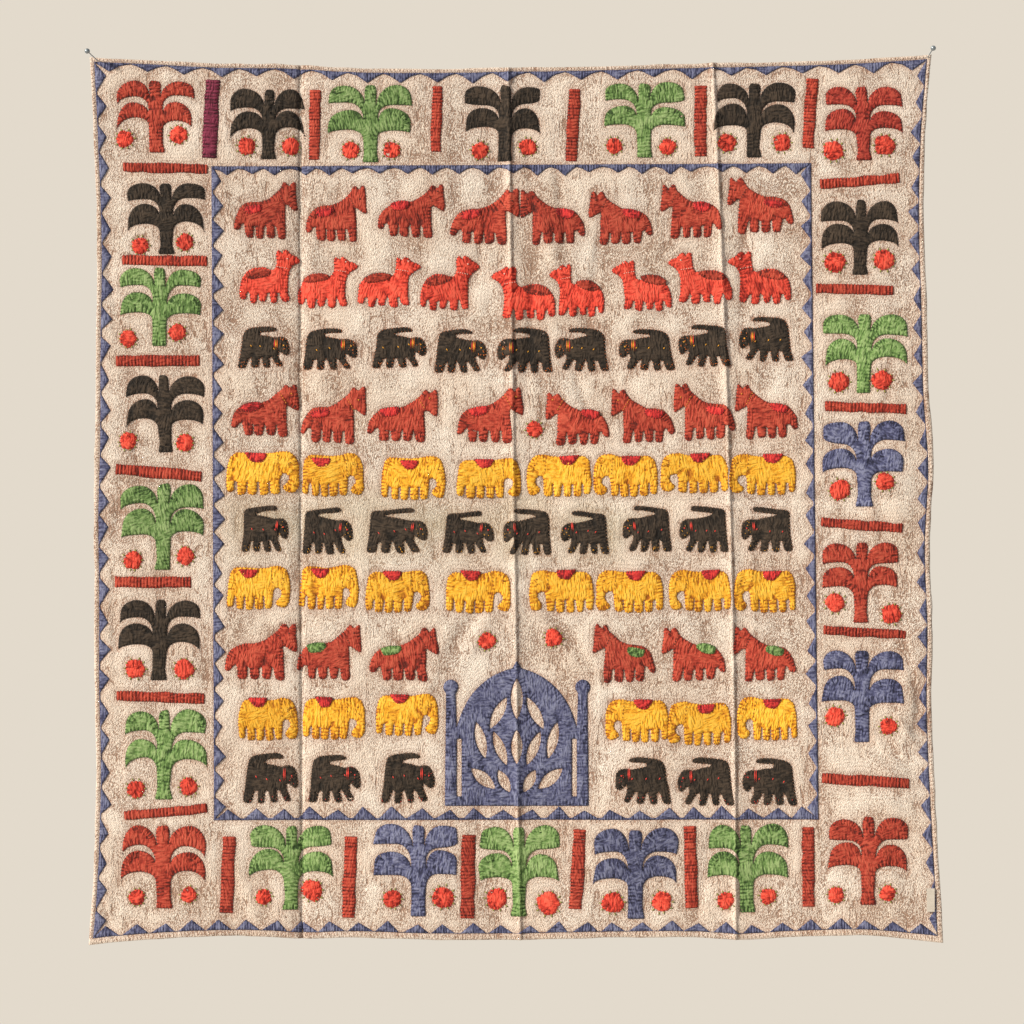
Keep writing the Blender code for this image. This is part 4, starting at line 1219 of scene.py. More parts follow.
@dataclass
class Sewer:
    """Sews cut pieces onto the hanging."""

    hanging: Hanging

    def sew(self, pile: Pile, loops: list[Loop], cloth: Cotton, yarn: Thread, sewing: Sewing,
            seed: int) -> None:
        """Adds one cut piece and the whip stitches round it.

        Its points lie on the outline, on rings at set distances inside it and on a
        lattice within those. Those of the outline stand at each stitch and between the
        stitches, so that the grooves run along edges of the mesh. The rim dips into the
        ground.

        Args:
            pile: the piece of the scene that it joins.
            loops: outline, then the holes.
            cloth, yarn: finishes.
            sewing: sizes.
            seed: picks the random values.
        """
        chance = np.random.default_rng(seed)
        loops = [loop.turned(number == 0) for number, loop in enumerate(loops)]
        rims, inner, stations, phases, reaches, pulls, first = [], [], [], [], [], [], 0
        for loop in loops:
            stitches = max(4, round(loop.around / sewing.pitch))
            points, normals, _ = loop.resampled(count=stitches * sewing.parts)
            phase = np.arange(len(points)) / sewing.parts
            edge = points + normals * (sewing.scallop * (1 - ridge(phase)) - sewing.overhang)[:, None]
            rims.append(edge)
            stations.append(points)
            inner += [edge + normals * ring for ring in sewing.rings]
            phases.append(phase + first)
            reaches.append(sewing.reaches(stitches, chance))
            pulls.append(sewing.pulls(stitches, chance))
            first += stitches
            at = slice(0, None, sewing.parts)
            self._whips(pile, points[at], normals[at], yarn, sewing, chance)
        samples, phase, reach = np.vstack(rims), np.concatenate(phases), np.concatenate(reaches)
        points, faces = self._cut(rims, samples, inner, sewing, chance)
        index, distance = nearest(points, np.vstack(stations))[0], nearest(points, samples)[1]
        stitch = np.round(phase[index]).astype(int) % first
        pull = np.concatenate(pulls)[stitch]
        groove = pull * (1 - ridge(phase[index])) * np.exp(-distance / reach[stitch])
        self._cover(pile, points, faces, cloth, sewing, seed, groove, distance, distance < 0.25, chance)

    def sew_strip(self, pile: Pile, first: Array, last: Array, cloth: Cotton, yarn: Thread, sewing: Sewing,
                  seed: int, closed_ends: bool = True) -> None:
        """Adds a strip between two edge lines, with whip stitches over both.

        A point of the grid is first + (last - first) v. The lines have a point at each
        stitch and between the stitches, so that grooves cross the strip along the grid.

        Args:
            pile: the piece of the scene that it joins.
            first, last: points of the two edges, station by station, such that last lies
                to the left of the run in (across, drop).
            cloth, yarn: finishes.
            sewing: sizes.
            seed: picks the random values.
            closed_ends: whether the ends are sewn down too.
        """
        chance = np.random.default_rng(seed)
        stations = len(first)
        phase = np.arange(stations) / sewing.parts
        width = np.linalg.norm(last - first, axis=1)
        inwards = (last - first) / np.maximum(width, 1e-6)[:, None]
        pulled = sewing.scallop * (1 - ridge(phase)) - sewing.overhang
        pulled = pulled * np.clip(width / 4.0 - 0.3, 0, 1)
        first, last = first + inwards * pulled[:, None], last - inwards * pulled[:, None]
        share = np.array(sewing.columns)
        points = between(first[:, None], last[:, None], share[None, :, None])
        side = np.minimum(share, 1 - share)[None] * width[:, None]
        run = np.linalg.norm(np.diff(first, axis=0), axis=1)
        along = np.concatenate([[0.0], np.cumsum(run)])
        ends = np.minimum(along, along[-1] - along)[:, None] * np.ones_like(side)
        distance = np.minimum(side, ends) if closed_ends else side
        stitch = np.round(phase).astype(int)
        reach = sewing.reaches(stations // sewing.parts + 2, chance)[stitch]
        pull = sewing.pulls(stations // sewing.parts + 2, chance)[stitch]
        groove = (pull * (1 - ridge(phase)))[:, None] * np.exp(-side / reach[:, None])
        sunk = np.zeros(side.shape, bool)
        sunk[:, [0, -1]] = True
        sunk[[0, -1]] |= closed_ends
        faces = grid_faces(stations, len(share))
        self._cover(pile, points, faces, cloth, sewing, seed, groove, distance, sunk, chance)
        at = slice(sewing.parts, -1, sewing.parts)
        broad = width[at] > sewing.narrowest
        self._whips(pile, first[at][broad], inwards[at][broad], yarn, sewing, chance)
        self._whips(pile, last[at][broad], -inwards[at][broad], yarn, sewing, chance)

    def _cover(self, pile: Pile, points: Array, faces: Array, cloth: Cotton, sewing: Sewing, seed: int,
               groove: Array, distance: Array, sunk: Array, chance: np.random.Generator) -> None:
        """Adds a piece's cloth, raised over the ground, with its puckers' light and shade painted into its
        colour.

        Args:
            pile: the piece of the scene that it joins.
            points, faces: its places on the hanging, and its triangles or quads.
            cloth: its finish.
            sewing: sizes.
            seed: picks the unevenness.
            groove, distance: the stitches' grooves and the distance to the edge, by point.
            sunk: which points dip into the ground.
            chance: picks the piece's tone.
        """
        across, drop = points[..., 0], points[..., 1]
        rough = sewing.fine_rough * cloud(across, drop, 4.2, seed + 3)
        rough = rough + sewing.rough * cloud(across, drop, 9.0, seed + 4)
        height = sewing.rise(distance, groove) + rough * (1 - np.exp(-distance / 2.0))
        height = self.hanging.half_thick + sewing.base + np.where(sunk, sewing.sunk, height)
        # painted light and shade from the roughness, the grooves, the rim and the folds
        shade = sewing.shade(rough, groove, distance, self.hanging.wear(across, drop))
        pile.add(self.hanging.place(across, drop, height).reshape(-1, 3), faces, cloth, pucker=shade.ravel(),
                 tone=float(chance.uniform(-1, 1)) * sewing.tones)

    def _whips(self, pile: Pile, places: Array, inwards: Array, yarn: Thread, sewing: Sewing,
               chance: np.random.Generator) -> None:
        """Adds a whip stitch at each place, from the ground up onto the piece."""
        count = len(places)
        way = np.stack([inwards[:, 1], -inwards[:, 0]], axis=1)
        slant = way * (sewing.stitch_slant * chance.uniform(0.3, 1.6, count))[:, None]
        out = inwards * (sewing.stitch_out * chance.uniform(0.7, 1.2, count))[:, None]
        into = inwards * (sewing.stitch_in * chance.uniform(0.7, 1.2, count))[:, None]
        ground = self.hanging.half_thick + sewing.base
        low = self.hanging.place(*(places - out - slant).T, np.full(count, ground - 0.15))
        high = self.hanging.place(*(places + into + slant).T, np.full(count, ground + 0.45 * sewing.lift))
        pile.add(*stitch_mesh(low, high, 0.55, sewing.stitch_width), yarn)

    def mark(self, pile: Pile, start: Array, end: Array, yarn: Thread, over: float, width: float) -> None:
        """Adds single stitches that lie on a sewn piece, their ends sunk in it."""
        height = self.hanging.half_thick + over
        ends = [self.hanging.place(*np.asarray(place).T, np.full(len(place), height))
                for place in (start, end)]
        pile.add(*stitch_mesh(*ends, 0.6, width), yarn)

    def _cut(self, rims: list[Array], samples: Array, rings: list[Array], sewing: Sewing,
             chance: np.random.Generator) -> tuple[Array, Array]:
        """Triangles of a flat piece: its rims, the rings inside them and a lattice within.

        Args:
            rims: points of each loop.
            samples: the same points in one array.
            rings: points inside the loops, ring by ring.
            sewing: sizes.
            chance: moves the lattice's points a little.

        Returns:
            Points and triangles that face out of the wall.
        """
        lattice = sewing.lattice
        kept = []
        for number, ring in enumerate(rings):
            depth = sewing.rings[number % len(sewing.rings)]
            ring = ring[contains(rims, ring)]
            kept.append(ring[nearest(ring, samples)[1] > 0.86 * depth])
        ringed = np.vstack(kept)
        gaps = np.linalg.norm((ringed[:, None] - ringed[None]).astype(np.float32), axis=2)
        gaps[np.triu_indices(len(ringed))] = np.inf
        ringed = ringed[gaps.min(axis=1, initial=np.inf) > 0.85]
        low, high = rims[0].min(axis=0), rims[0].max(axis=0)
        rows = np.arange(low[1], high[1], lattice * 0.866)
        columns = np.arange(low[0], high[0], lattice)
        across, drop = np.meshgrid(columns, rows)
        across = across + lattice / 2 * (np.arange(len(rows)) % 2)[:, None]
        inner = np.stack([across.ravel(), drop.ravel()], axis=1)
        inner += chance.uniform(-0.16, 0.16, inner.shape) * lattice
        inner = inner[contains(rims, inner)]
        inner = inner[nearest(inner, np.vstack([samples, ringed]))[1] > 0.55 * lattice]
        inner = np.vstack([ringed, inner])
        sides, first = [], 0
        for rim in rims:
            number = np.arange(len(rim))
            sides += (np.stack([number, (number + 1) % len(rim)], axis=1) + first).tolist()
            first += len(rim)
        places = np.vstack([*rims, inner])
        found = delaunay_2d_cdt([Vector(place) for place in places.tolist()], sides, [], 0, 1e-4, False)
        points, faces = np.array([tuple(place) for place in found[0]]), np.array(found[2])
        inside = contains(rims, points[faces].mean(axis=1))
        # The finder runs anticlockwise in (across, drop), which faces the wall.
        return points, faces[inside][:, ::-1]


# Palms


@dataclass(frozen=True)
class Frond:
    """Heights of a frond's roots, crests and end, and how far out the crests are."""

    under_root: float
    under_crest: float
    under_out: float
    over_root: float
    over_crest: float
    over_out: float
    end: float


@dataclass(frozen=True)
class Palm:
    """A palm: trunk, reach to each side, top and foot. The tips are shares of the height."""

    name: str
    dye: Dye
    across: float
    left: float
    right: float
    top: float
    foot: float
    upper_tip: float
    lower_tip: float
    uneven: float = 0.032
    slack: float = 0.05
    trunk_half: float = 0.172
    foot_half: float = 0.19
    stub_half: float = 0.13
    lean: float = 3.0
    steps: int = 5
    lower: Frond = Frond(0.34, 0.445, 0.50, 0.54, 0.70, 0.54, 0.14)
    upper: Frond = Frond(0.595, 0.76, 0.50, 0.76, 1.0, 0.58, 0.12)

    def frond(self, frond: Frond, tip: float, half: float, reach: float,
              chance: random.Random) -> list[Point]:
        """A frond from its root, out under it, up its end and back over it to the trunk.

        The end is blunt, with its lower corner a sharp tip, and no two fronds are alike.
        """
        height = self.foot - self.top

        def stray(value: float, by: float) -> float:
            return value + chance.uniform(-by, by)

        out = reach * (1 - chance.uniform(0, self.slack))
        under = (stray(frond.under_out, 0.04) * out, stray(frond.under_crest, self.uneven) * height)
        over = (stray(frond.over_out, 0.07) * out, stray(frond.over_crest, self.uneven * 0.7) * height)
        under_root = (self.trunk_half * reach, stray(frond.under_root, self.uneven) * height)
        tip = stray(tip, self.uneven)
        end_under = (stray(0.97, 0.03) * out, tip * height)
        end_over = (stray(0.97, 0.03) * out, (tip + stray(frond.end, 0.03)) * height)
        over_root = (half * reach, stray(frond.over_root, 0.015) * height)
        return [under_root, *dome(under_root, under, end_under, self.steps), end_over,
                *dome(end_over, over, over_root, self.steps)]

    def side(self, reach: float, chance: random.Random) -> list[Point]:
        """One side of the outline from foot to top, as (outwards, upwards)."""
        height = self.foot - self.top
        lower = self.frond(self.lower, self.lower_tip, self.trunk_half, reach, chance)
        upper = self.frond(self.upper, self.upper_tip, self.stub_half, reach, chance)
        foot = self.foot_half * chance.uniform(0.85, 1.15)
        waist = self.trunk_half * chance.uniform(0.78, 1.0)
        stub = self.stub_half * chance.uniform(0.9, 1.35)
        return [(foot * reach, 0.0), (waist * reach, 0.13 * height), *lower, *upper,
                (stub * reach, 0.94 * height), (stub * 0.7 * reach, chance.uniform(0.98, 1.02) * height)]

    def loop(self, seed: int) -> Loop:
        """The whole outline, leaning a little, with slightly rounded corners."""
        chance = random.Random(seed)
        right, left = self.side(self.right, chance), self.side(self.left, chance)
        lean = chance.uniform(-self.lean, self.lean)
        outline = np.array(right + [(-out, up) for out, up in reversed(left)])
        share = outline[:, 1] / (self.foot - self.top)
        inwards = 1 - np.abs(outline[:, 0]) / max(self.left, self.right)
        across = self.across + outline[:, 0] + lean * inwards * (share - 0.5)
        return Loop(np.stack([across, self.foot - outline[:, 1]], axis=1)).softened(1.3).softened(0.6)


PALMS = tuple(Palm(f"palm_{side}_{number}", *row) for side, rows in {
    "top": (
        (Dye.RUST, -445.6, 53, 52, 15, 106, 0.68, 0.3, 0.05, 0.12),
        (Dye.BLACK, -303.8, 51, 46, 27, 114, 0.68, 0.27), (Dye.GREEN, -176.8, 56, 54, 23, 118, 0.74, 0.37),
        (Dye.BLACK, -7.5, 54, 44, 22, 117, 0.79, 0.38), (Dye.GREEN, 165, 52, 53, 19, 112, 0.76, 0.38),
        (Dye.BLACK, 302.5, 51, 53, 18, 112, 0.74, 0.34),
        (Dye.DARK_RUST, 438.8, 51, 53, 24, 116, 0.72, 0.36)),
    "left": (
        (Dye.BLACK, -432.5, 52, 50, 143, 233, 0.72, 0.31), (Dye.GREEN, -441, 52, 54, 251, 348, 0.76, 0.36),
        (Dye.BLACK, -435, 50, 52, 384, 481, 0.72, 0.32), (Dye.GREEN, -436, 55, 54, 521, 628, 0.72, 0.38),
        (Dye.BLACK, -440, 54, 52, 664, 766, 0.72, 0.36), (Dye.GREEN, -435, 51, 56, 804, 915, 0.72, 0.36)),
    "bottom": (
        (Dye.RUST, -436, 56, 55, 948, 1051, 0.62, 0.33), (Dye.GREEN, -276, 54, 54, 947, 1053, 0.76, 0.36),
        (Dye.BLUE, -116, 59, 50, 946, 1061, 0.78, 0.42), (Dye.GREEN, 9, 52, 52, 949, 1061, 0.76, 0.4),
        (Dye.BLUE, 154, 55, 56, 952, 1064, 0.68, 0.38), (Dye.GREEN, 292.5, 49, 55, 947, 1056, 0.74, 0.38),
        (Dye.RUST, 445, 53, 52, 937, 1046, 0.78, 0.38)),
    "right": (
        (Dye.BLACK, 436, 52, 50, 166, 259, 0.7, 0.34), (Dye.GREEN, 440, 52, 56, 307, 407, 0.72, 0.32),
        (Dye.BLUE, 440, 55, 52, 443, 549, 0.79, 0.4), (Dye.RUST, 436, 51, 50, 593, 694, 0.74, 0.42),
        (Dye.BLUE, 437, 52, 55, 727, 843, 0.74, 0.44)),
}.items() for number, row in enumerate(rows, 1))


@dataclass(frozen=True)
class Bar:
    """A bar between two palms: the ends of its middle line and its width."""

    name: str
    start: Point
    end: Point
    width: float
    dye: Dye = Dye.RUST
    bulge: float = 0.05
    bends: int = 9
    ragged: float = 0.9

    def edges(self, seed: int, pitch: float, parts: int) -> tuple[Array, Array]:
        """The two long edges, a point at each stitch and between the stitches.

        Half the width grows by a sine half-way and wanders a little along the bar.

        Args:
            seed: picks the random values.
            pitch: spacing of the stitches.
            parts: points for each stitch.

        Returns:
            Points of the two edges, the second to the left of the run.
        """
        chance = np.random.default_rng(seed)
        run = np.subtract(self.end, self.start)
        length = float(np.hypot(*run))
        left = np.array([-run[1], run[0]]) / length
        stations = round(length / pitch) * parts + 1
        share = np.linspace(0, 1, stations)
        lines = []
        for sign in (-1, 1):
            wander = np.interp(share * self.bends, np.arange(self.bends + 1),
                               chance.uniform(-self.ragged, self.ragged, self.bends + 1))
            half = sign * (self.width / 2 * (1 + self.bulge * np.sin(math.pi * share)) + wander)
            lines.append(np.array(self.start) + share[:, None] * run + half[:, None] * left)
        return lines[0], lines[1]


BARS = tuple(Bar(f"bar_{side}_{number}", *row) for side, rows in {
    "top": (
        ((-374, 14.5), (-379, 113), 18.5, Dye.PURPLE), ((-246, 27), (-248, 115), 14),
        ((-93, 22.5), (-95.5, 105), 13), ((79, 26), (74, 117), 15), ((236, 22), (236, 111), 15),
        ((376, 13), (370, 101), 15)),
    "left": (
        ((-487, 124), (-380.5, 126.5), 12), ((-488, 240.5), (-381, 241.5), 12.5),
        ((-496, 367), (-390.5, 366), 14), ((-496, 502), (-388, 511), 13.5),
        ((-497, 643), (-401, 643.5), 13.5), ((-495, 785), (-384, 789), 13),
        ((-485, 935.5), (-380.5, 926), 12)),
    "right": (
        ((385, 146), (485, 138), 12), ((380, 276), (477, 278.5), 12), ((391, 423), (493, 427), 12),
        ((386, 568), (488, 576), 12), ((389, 703), (492, 709), 11.5), ((387, 888), (496, 894), 13)),
    "bottom": (
        ((-353, 961), (-357, 1057), 16.5), ((-201, 961), (-205, 1063), 16.5),
        ((-54, 959), (-56, 1064), 17.5), ((85, 952), (79, 1052), 16.5), ((222, 948), (225, 1051), 16),
        ((370, 949), (370, 1049), 15.5)),
}.items() for number, row in enumerate(rows, 1))


# Toothed borders and the arched panel


@dataclass(frozen=True)
class Teeth:
    """Pitch and depth of a border's teeth, and whether the valleys between are round."""

    pitch: float
    depth: float
    rounded: bool
    band: float = 1.6


@dataclass(frozen=True)
class Border:
    """A toothed strip round a frame, mitred at its corners.

    The base line of each side is given as a function of the share along it.
    """

    name: str
    corners: tuple[Point, ...]
    base: Callable[[int, float], Point]
    teeth: tuple[Teeth, ...]
    seed: int
    uneven: float = 0.20
    astray: float = 0.11
    flat: float = 0.13
    flank_at: float = 0.22
    flank_rise: float = 0.27

    def edges(self, pitch: float, parts: int) -> list[tuple[Array, Array]]:
        """The outer and the toothed inner edge of each side, clockwise from the top.

        The strip's width runs straight between the valleys, the flanks and the tips of
        the teeth, and at both ends it is held to the distance from the corner, a mitre.

        Args:
            pitch: spacing of the stitches.
            parts: points for each stitch.

        Returns:
            The two edges of the four sides.
        """
        chance = np.random.default_rng(self.seed)
        inwards = np.array([(0, 1), (-1, 0), (0, -1), (1, 0)], float)
        sides = []
        for side, teeth in enumerate(self.teeth):
            length = math.dist(self.corners[side], self.corners[(side + 1) % 4])
            count = round(length / teeth.pitch)
            marks, rises = (0.0, 0.0, 0.5, 1.0), (0.0, 0.0, 1.0, 0.0)
            flats = self.flat * np.array((0.0, 1.0, 0.0, -1.0)) * chance.random((count, 4))
            if teeth.rounded:
                marks = (0.0, self.flank_at, 0.5, 1 - self.flank_at)
                rises = (0.0, self.flank_rise, 1.0, self.flank_rise)
                flats = np.zeros((count, 4))
            tips = teeth.depth * (1 + chance.uniform(-self.uneven, self.uneven, count))
            at = np.arange(count)[:, None] + np.array(marks) + flats
            at += chance.uniform(-self.astray, self.astray, (count, 1)) * (np.array(rises) > 0)
            widths = teeth.band + (tips[:, None] - teeth.band) * np.array(rises)
            stations = round(length / pitch) * parts + 1
            share = np.linspace(0, 1, stations)
            width = np.interp(share * count, np.append(at.ravel(), count),
                              np.append(widths.ravel(), teeth.band))
            width = np.minimum(width, 0.25 + np.minimum(share, 1 - share) * length)
            outer = np.array([self.base(side, float(part)) for part in share])
            sides.append((outer, outer + inwards[side] * width[:, None]))
        return sides

    def loops(self) -> list[Loop]:
        """The outlines of the four sides, for the quilting to follow."""
        return [Loop(np.vstack([outer, inner[::-1]])) for outer, inner in self.edges(12.0, 4)]


@dataclass(frozen=True)
class Leaf:
    """A leaf-shaped hole: its middle, length, width and turn."""

    across: float
    height: float
    length: float
    width: float
    turn: float

    def loop(self, mirror: int) -> list[Point]:
        """A pointed leaf about its middle, longest along its turn."""
        turn = math.radians(self.turn)
        tip, heel = (self.length / 2, 0.0), (-self.length / 2, 0.0)
        points = arc(tip, (0.0, self.width), heel, 9) + arc(heel, (0.0, -self.width), tip, 9)
        return [(mirror * (self.across + along * math.cos(turn) - aside * math.sin(turn)),
                 self.height + along * math.sin(turn) + aside * math.cos(turn)) for along, aside in points]


@dataclass(frozen=True)
class ArchPanel:
    """A plain pointed arch between two knobbed posts on a sill, cut from one cloth."""

    middle: float = 6.0
    foot: float = 923.0
    half: float = 90.0
    post_width: float = 15.0
    post_height: float = 158.0
    neck_half: float = 6.0
    knob_radius: float = 9.5
    knob_steps: int = 16
    spring: float = 98.0
    top: float = 182.0
    crown_half: float = 6.0
    crown: float = 10.0
    bend: Point = (60.0, 158.0)
    steps: int = 14
    sill: float = 12.0
    slot_width: float = 6.0
    slot_top: float = 84.0
    leaves: tuple[Leaf, ...] = (
        Leaf(0.0, 134.0, 52.0, 15.0, 90.0),
        Leaf(23.0, 116.0, 46.0, 13.0, 118.0),
        Leaf(0.0, 74.0, 44.0, 14.0, 90.0),
        Leaf(21.0, 72.0, 46.0, 13.0, 68.0),
        Leaf(45.0, 82.0, 48.0, 13.0, 76.0),
        Leaf(16.0, 31.0, 32.0, 13.0, 62.0),
        Leaf(42.0, 34.0, 40.0, 15.0, 40.0),
    )

    def loops(self) -> list[Loop]:
        """The panel's outline, then its leaf-shaped holes and the slot beside each post."""
        post_middle = self.half - self.post_width / 2
        inner = self.half - self.post_width
        opening = math.asin(self.neck_half / self.knob_radius)
        half = [(self.half, 0.0)]
        for step in range(self.knob_steps + 1):
            angle = -math.pi / 2 + opening + step * 2 * (math.pi - opening) / self.knob_steps
            half.append((post_middle + self.knob_radius * math.cos(angle),
                         self.post_height - self.knob_radius + self.knob_radius * math.sin(angle)))
        half.append((inner, self.spring))
        shoulder = (self.crown_half, self.top - self.crown)
        half += arc(half[-1], self.bend, shoulder, self.steps)
        outlines = [half + [(0.0, self.top)] + [(-across, up) for across, up in reversed(half)]]
        for leaf in self.leaves:
            outlines += [leaf.loop(mirror) for mirror in ((1, -1) if leaf.across else (1,))]
        beside = inner - self.slot_width
        slot = [(inner, self.sill), (inner, self.slot_top), (beside, self.slot_top), (beside, self.sill)]
        outlines += [[(mirror * across, up) for across, up in slot] for mirror in (1, -1)]
        shapes = [[(self.middle + across, self.foot - up) for across, up in outline] for outline in outlines]
        return [Loop(np.array(shape)).softened(1.0) for shape in shapes]


# Animals and flowers of the field


@dataclass(frozen=True)
class Leg:
    """A leg below the belly: its middle at the top and at the foot, its width and gap."""

    top: float
    foot: float
    width: float = 11.5
    gap: float = 21.0
    toe: float = 0.0

    def points(self) -> list[Point]:
        """Down the front of the leg, round its foot and up its back."""
        half = self.width / 2
        front = [(self.top + half * 1.1, self.gap), (self.foot + half, self.toe + 5),
                 (self.foot + half * 0.72, self.toe)]
        back = [(self.foot - half * 0.72, self.toe), (self.foot - half, self.toe + 5),
                (self.top - half * 1.1, self.gap)]
        return front + back


@dataclass(frozen=True)
class Figure:
    """An animal that faces right, in hundredths of its width and its height.

    The upper line runs from the tail or the hind leg over the back, the head and the
    chest, and the lower line from the hindmost leg back to the start.
    """

    upper: tuple[Point, ...]
    legs: tuple[Leg, ...]
    lower: tuple[Point, ...]
    eye: Point
    collar: tuple[Point, Point]
    saddle: tuple[Point, ...] = ()
    saddle_drift: float = 0.0

    def outline(self) -> list[Point]:
        """The whole outline."""
        return [*self.upper, *(point for leg in self.legs for point in leg.points()), *self.lower]


class Kind(Enum):
    """The animals, one generic figure of each kind, in hundredths."""

    HORSE = Figure(
        upper=((0, 21), (3, 40), (9, 53), (18, 62), (30, 65), (43, 65), (55, 71), (66, 80), (74, 89),
            (78.5, 99), (83.5, 98.5), (87, 91), (92.5, 100), (96.5, 99), (98, 80), (99.5, 62), (100, 52),
            (97.5, 48.5), (92, 51.5), (86, 57), (80.5, 61), (81, 46)),
        legs=(Leg(74, 75.5, 13.5, 22), Leg(57.5, 57.5, 13, 24, 2), Leg(41, 40.5, 13, 23, 2),
            Leg(24, 24.5, 13, 25, 3)),
        lower=((15, 27), (13.5, 28), (8.5, 17), (2, 16.5)),
        eye=(88.5, 81),
        collar=((71, 84), (81.5, 62)),
        saddle_drift=2,
        saddle=((16.5, 60), (31, 65.2), (46, 65.5), (47.5, 57), (41, 49.5), (30, 46.5), (20, 48)))
    CALF = Figure(
        upper=((0, 12), (0.5, 30), (4, 46), (12, 59), (25, 66), (40, 66.5), (50, 62), (57, 62), (60.5, 74),
            (60.5, 90), (62, 99), (67.5, 98.5), (70, 92), (74, 100), (80, 96.5), (85, 90), (93, 87),
            (100, 80), (97, 75), (87, 70), (81, 60), (79, 46)),
        legs=(Leg(71.5, 74.5, 13.5, 20, 3), Leg(55, 55.5, 13, 20), Leg(38.5, 37.5, 12, 19, 3),
            Leg(22.5, 22, 12.5, 18)),
        lower=((13.5, 20), (12, 20), (10, 8), (2, 6)),
        eye=(79, 87),
        collar=((61, 72), (80, 68)),
        saddle=((8, 54), (22, 65.5), (40, 67), (54, 62.5), (48, 54), (36, 49), (22, 46.5), (12, 47.5)))
    ELEPHANT = Figure(
        upper=((0, 12), (0, 35), (0.5, 62), (4.5, 86), (12, 96), (26, 96), (45, 93), (62, 95.5), (73, 100),
            (85, 99), (94, 90), (98.5, 70), (100, 45), (99.5, 18), (95, 5), (86, 4), (78.5, 11),
            (78.5, 21), (83, 26), (86.5, 33), (86, 43), (80, 50), (74.5, 47)),
        legs=(Leg(66.5, 66.5, 12.5, 32, 2), Leg(51.5, 51.5, 12.5, 31), Leg(36.5, 36, 12, 30),
            Leg(21.5, 21, 12, 31, 1)),
        lower=((12.5, 31), (11.2, 30), (10.5, 10), (8.5, 6), (2, 6)),
        eye=(88, 74),
        collar=((70, 95), (73, 52)),
        saddle_drift=7,
        saddle=((21, 97.5), (54, 96), (52, 86), (47, 75), (34, 73), (27, 83)))
    CURL_TAIL = Figure(
        upper=((0, 6), (4.5, 28), (7.5, 55), (9.5, 79), (14, 91), (25, 96.5), (44, 99), (62, 100), (73, 96.5),
            (76, 91.5), (72, 88.5), (58, 88), (46, 86.5), (40, 82), (47, 79.5), (60, 77), (71, 73.5),
            (81, 75.5), (91, 73.5), (97.5, 64), (100, 48), (98.5, 34), (93, 28), (86, 34), (80, 42)),
        legs=(Leg(71.5, 80, 13.5, 27, 4), Leg(53, 56, 14, 26, 1), Leg(34, 32.5, 13.5, 25, 1)),
        lower=((23.5, 25), (21.5, 23), (16.5, 4), (13, 1), (2, 1)),
        eye=(89, 55),
        collar=((77, 73), (76.5, 43)))
    STRAIGHT_TAIL = Figure(
        upper=((0, 6), (4.5, 40), (6, 70), (7, 87), (13, 93), (35, 96), (58, 99), (74, 100), (79, 95.5),
            (76, 89), (60, 88), (42, 85.5), (31, 82), (42, 79), (57, 75.5), (70, 72), (79, 73), (90, 71.5),
            (97.5, 63), (100, 47), (99, 32), (92, 27), (85, 32), (78.5, 41)),
        legs=(Leg(70, 79, 14, 28, 2), Leg(52, 55.5, 15, 26), Leg(33, 31.5, 14.5, 25, 1)),
        lower=((21.5, 25), (20, 23), (16.5, 4), (13, 1), (2, 1)),
        eye=(89, 55),
        collar=((78, 71), (75.5, 47)))


class Facing(Enum):
    """Which way an animal looks, as the sign of its nose's side."""

    RIGHT = 1
    LEFT = -1


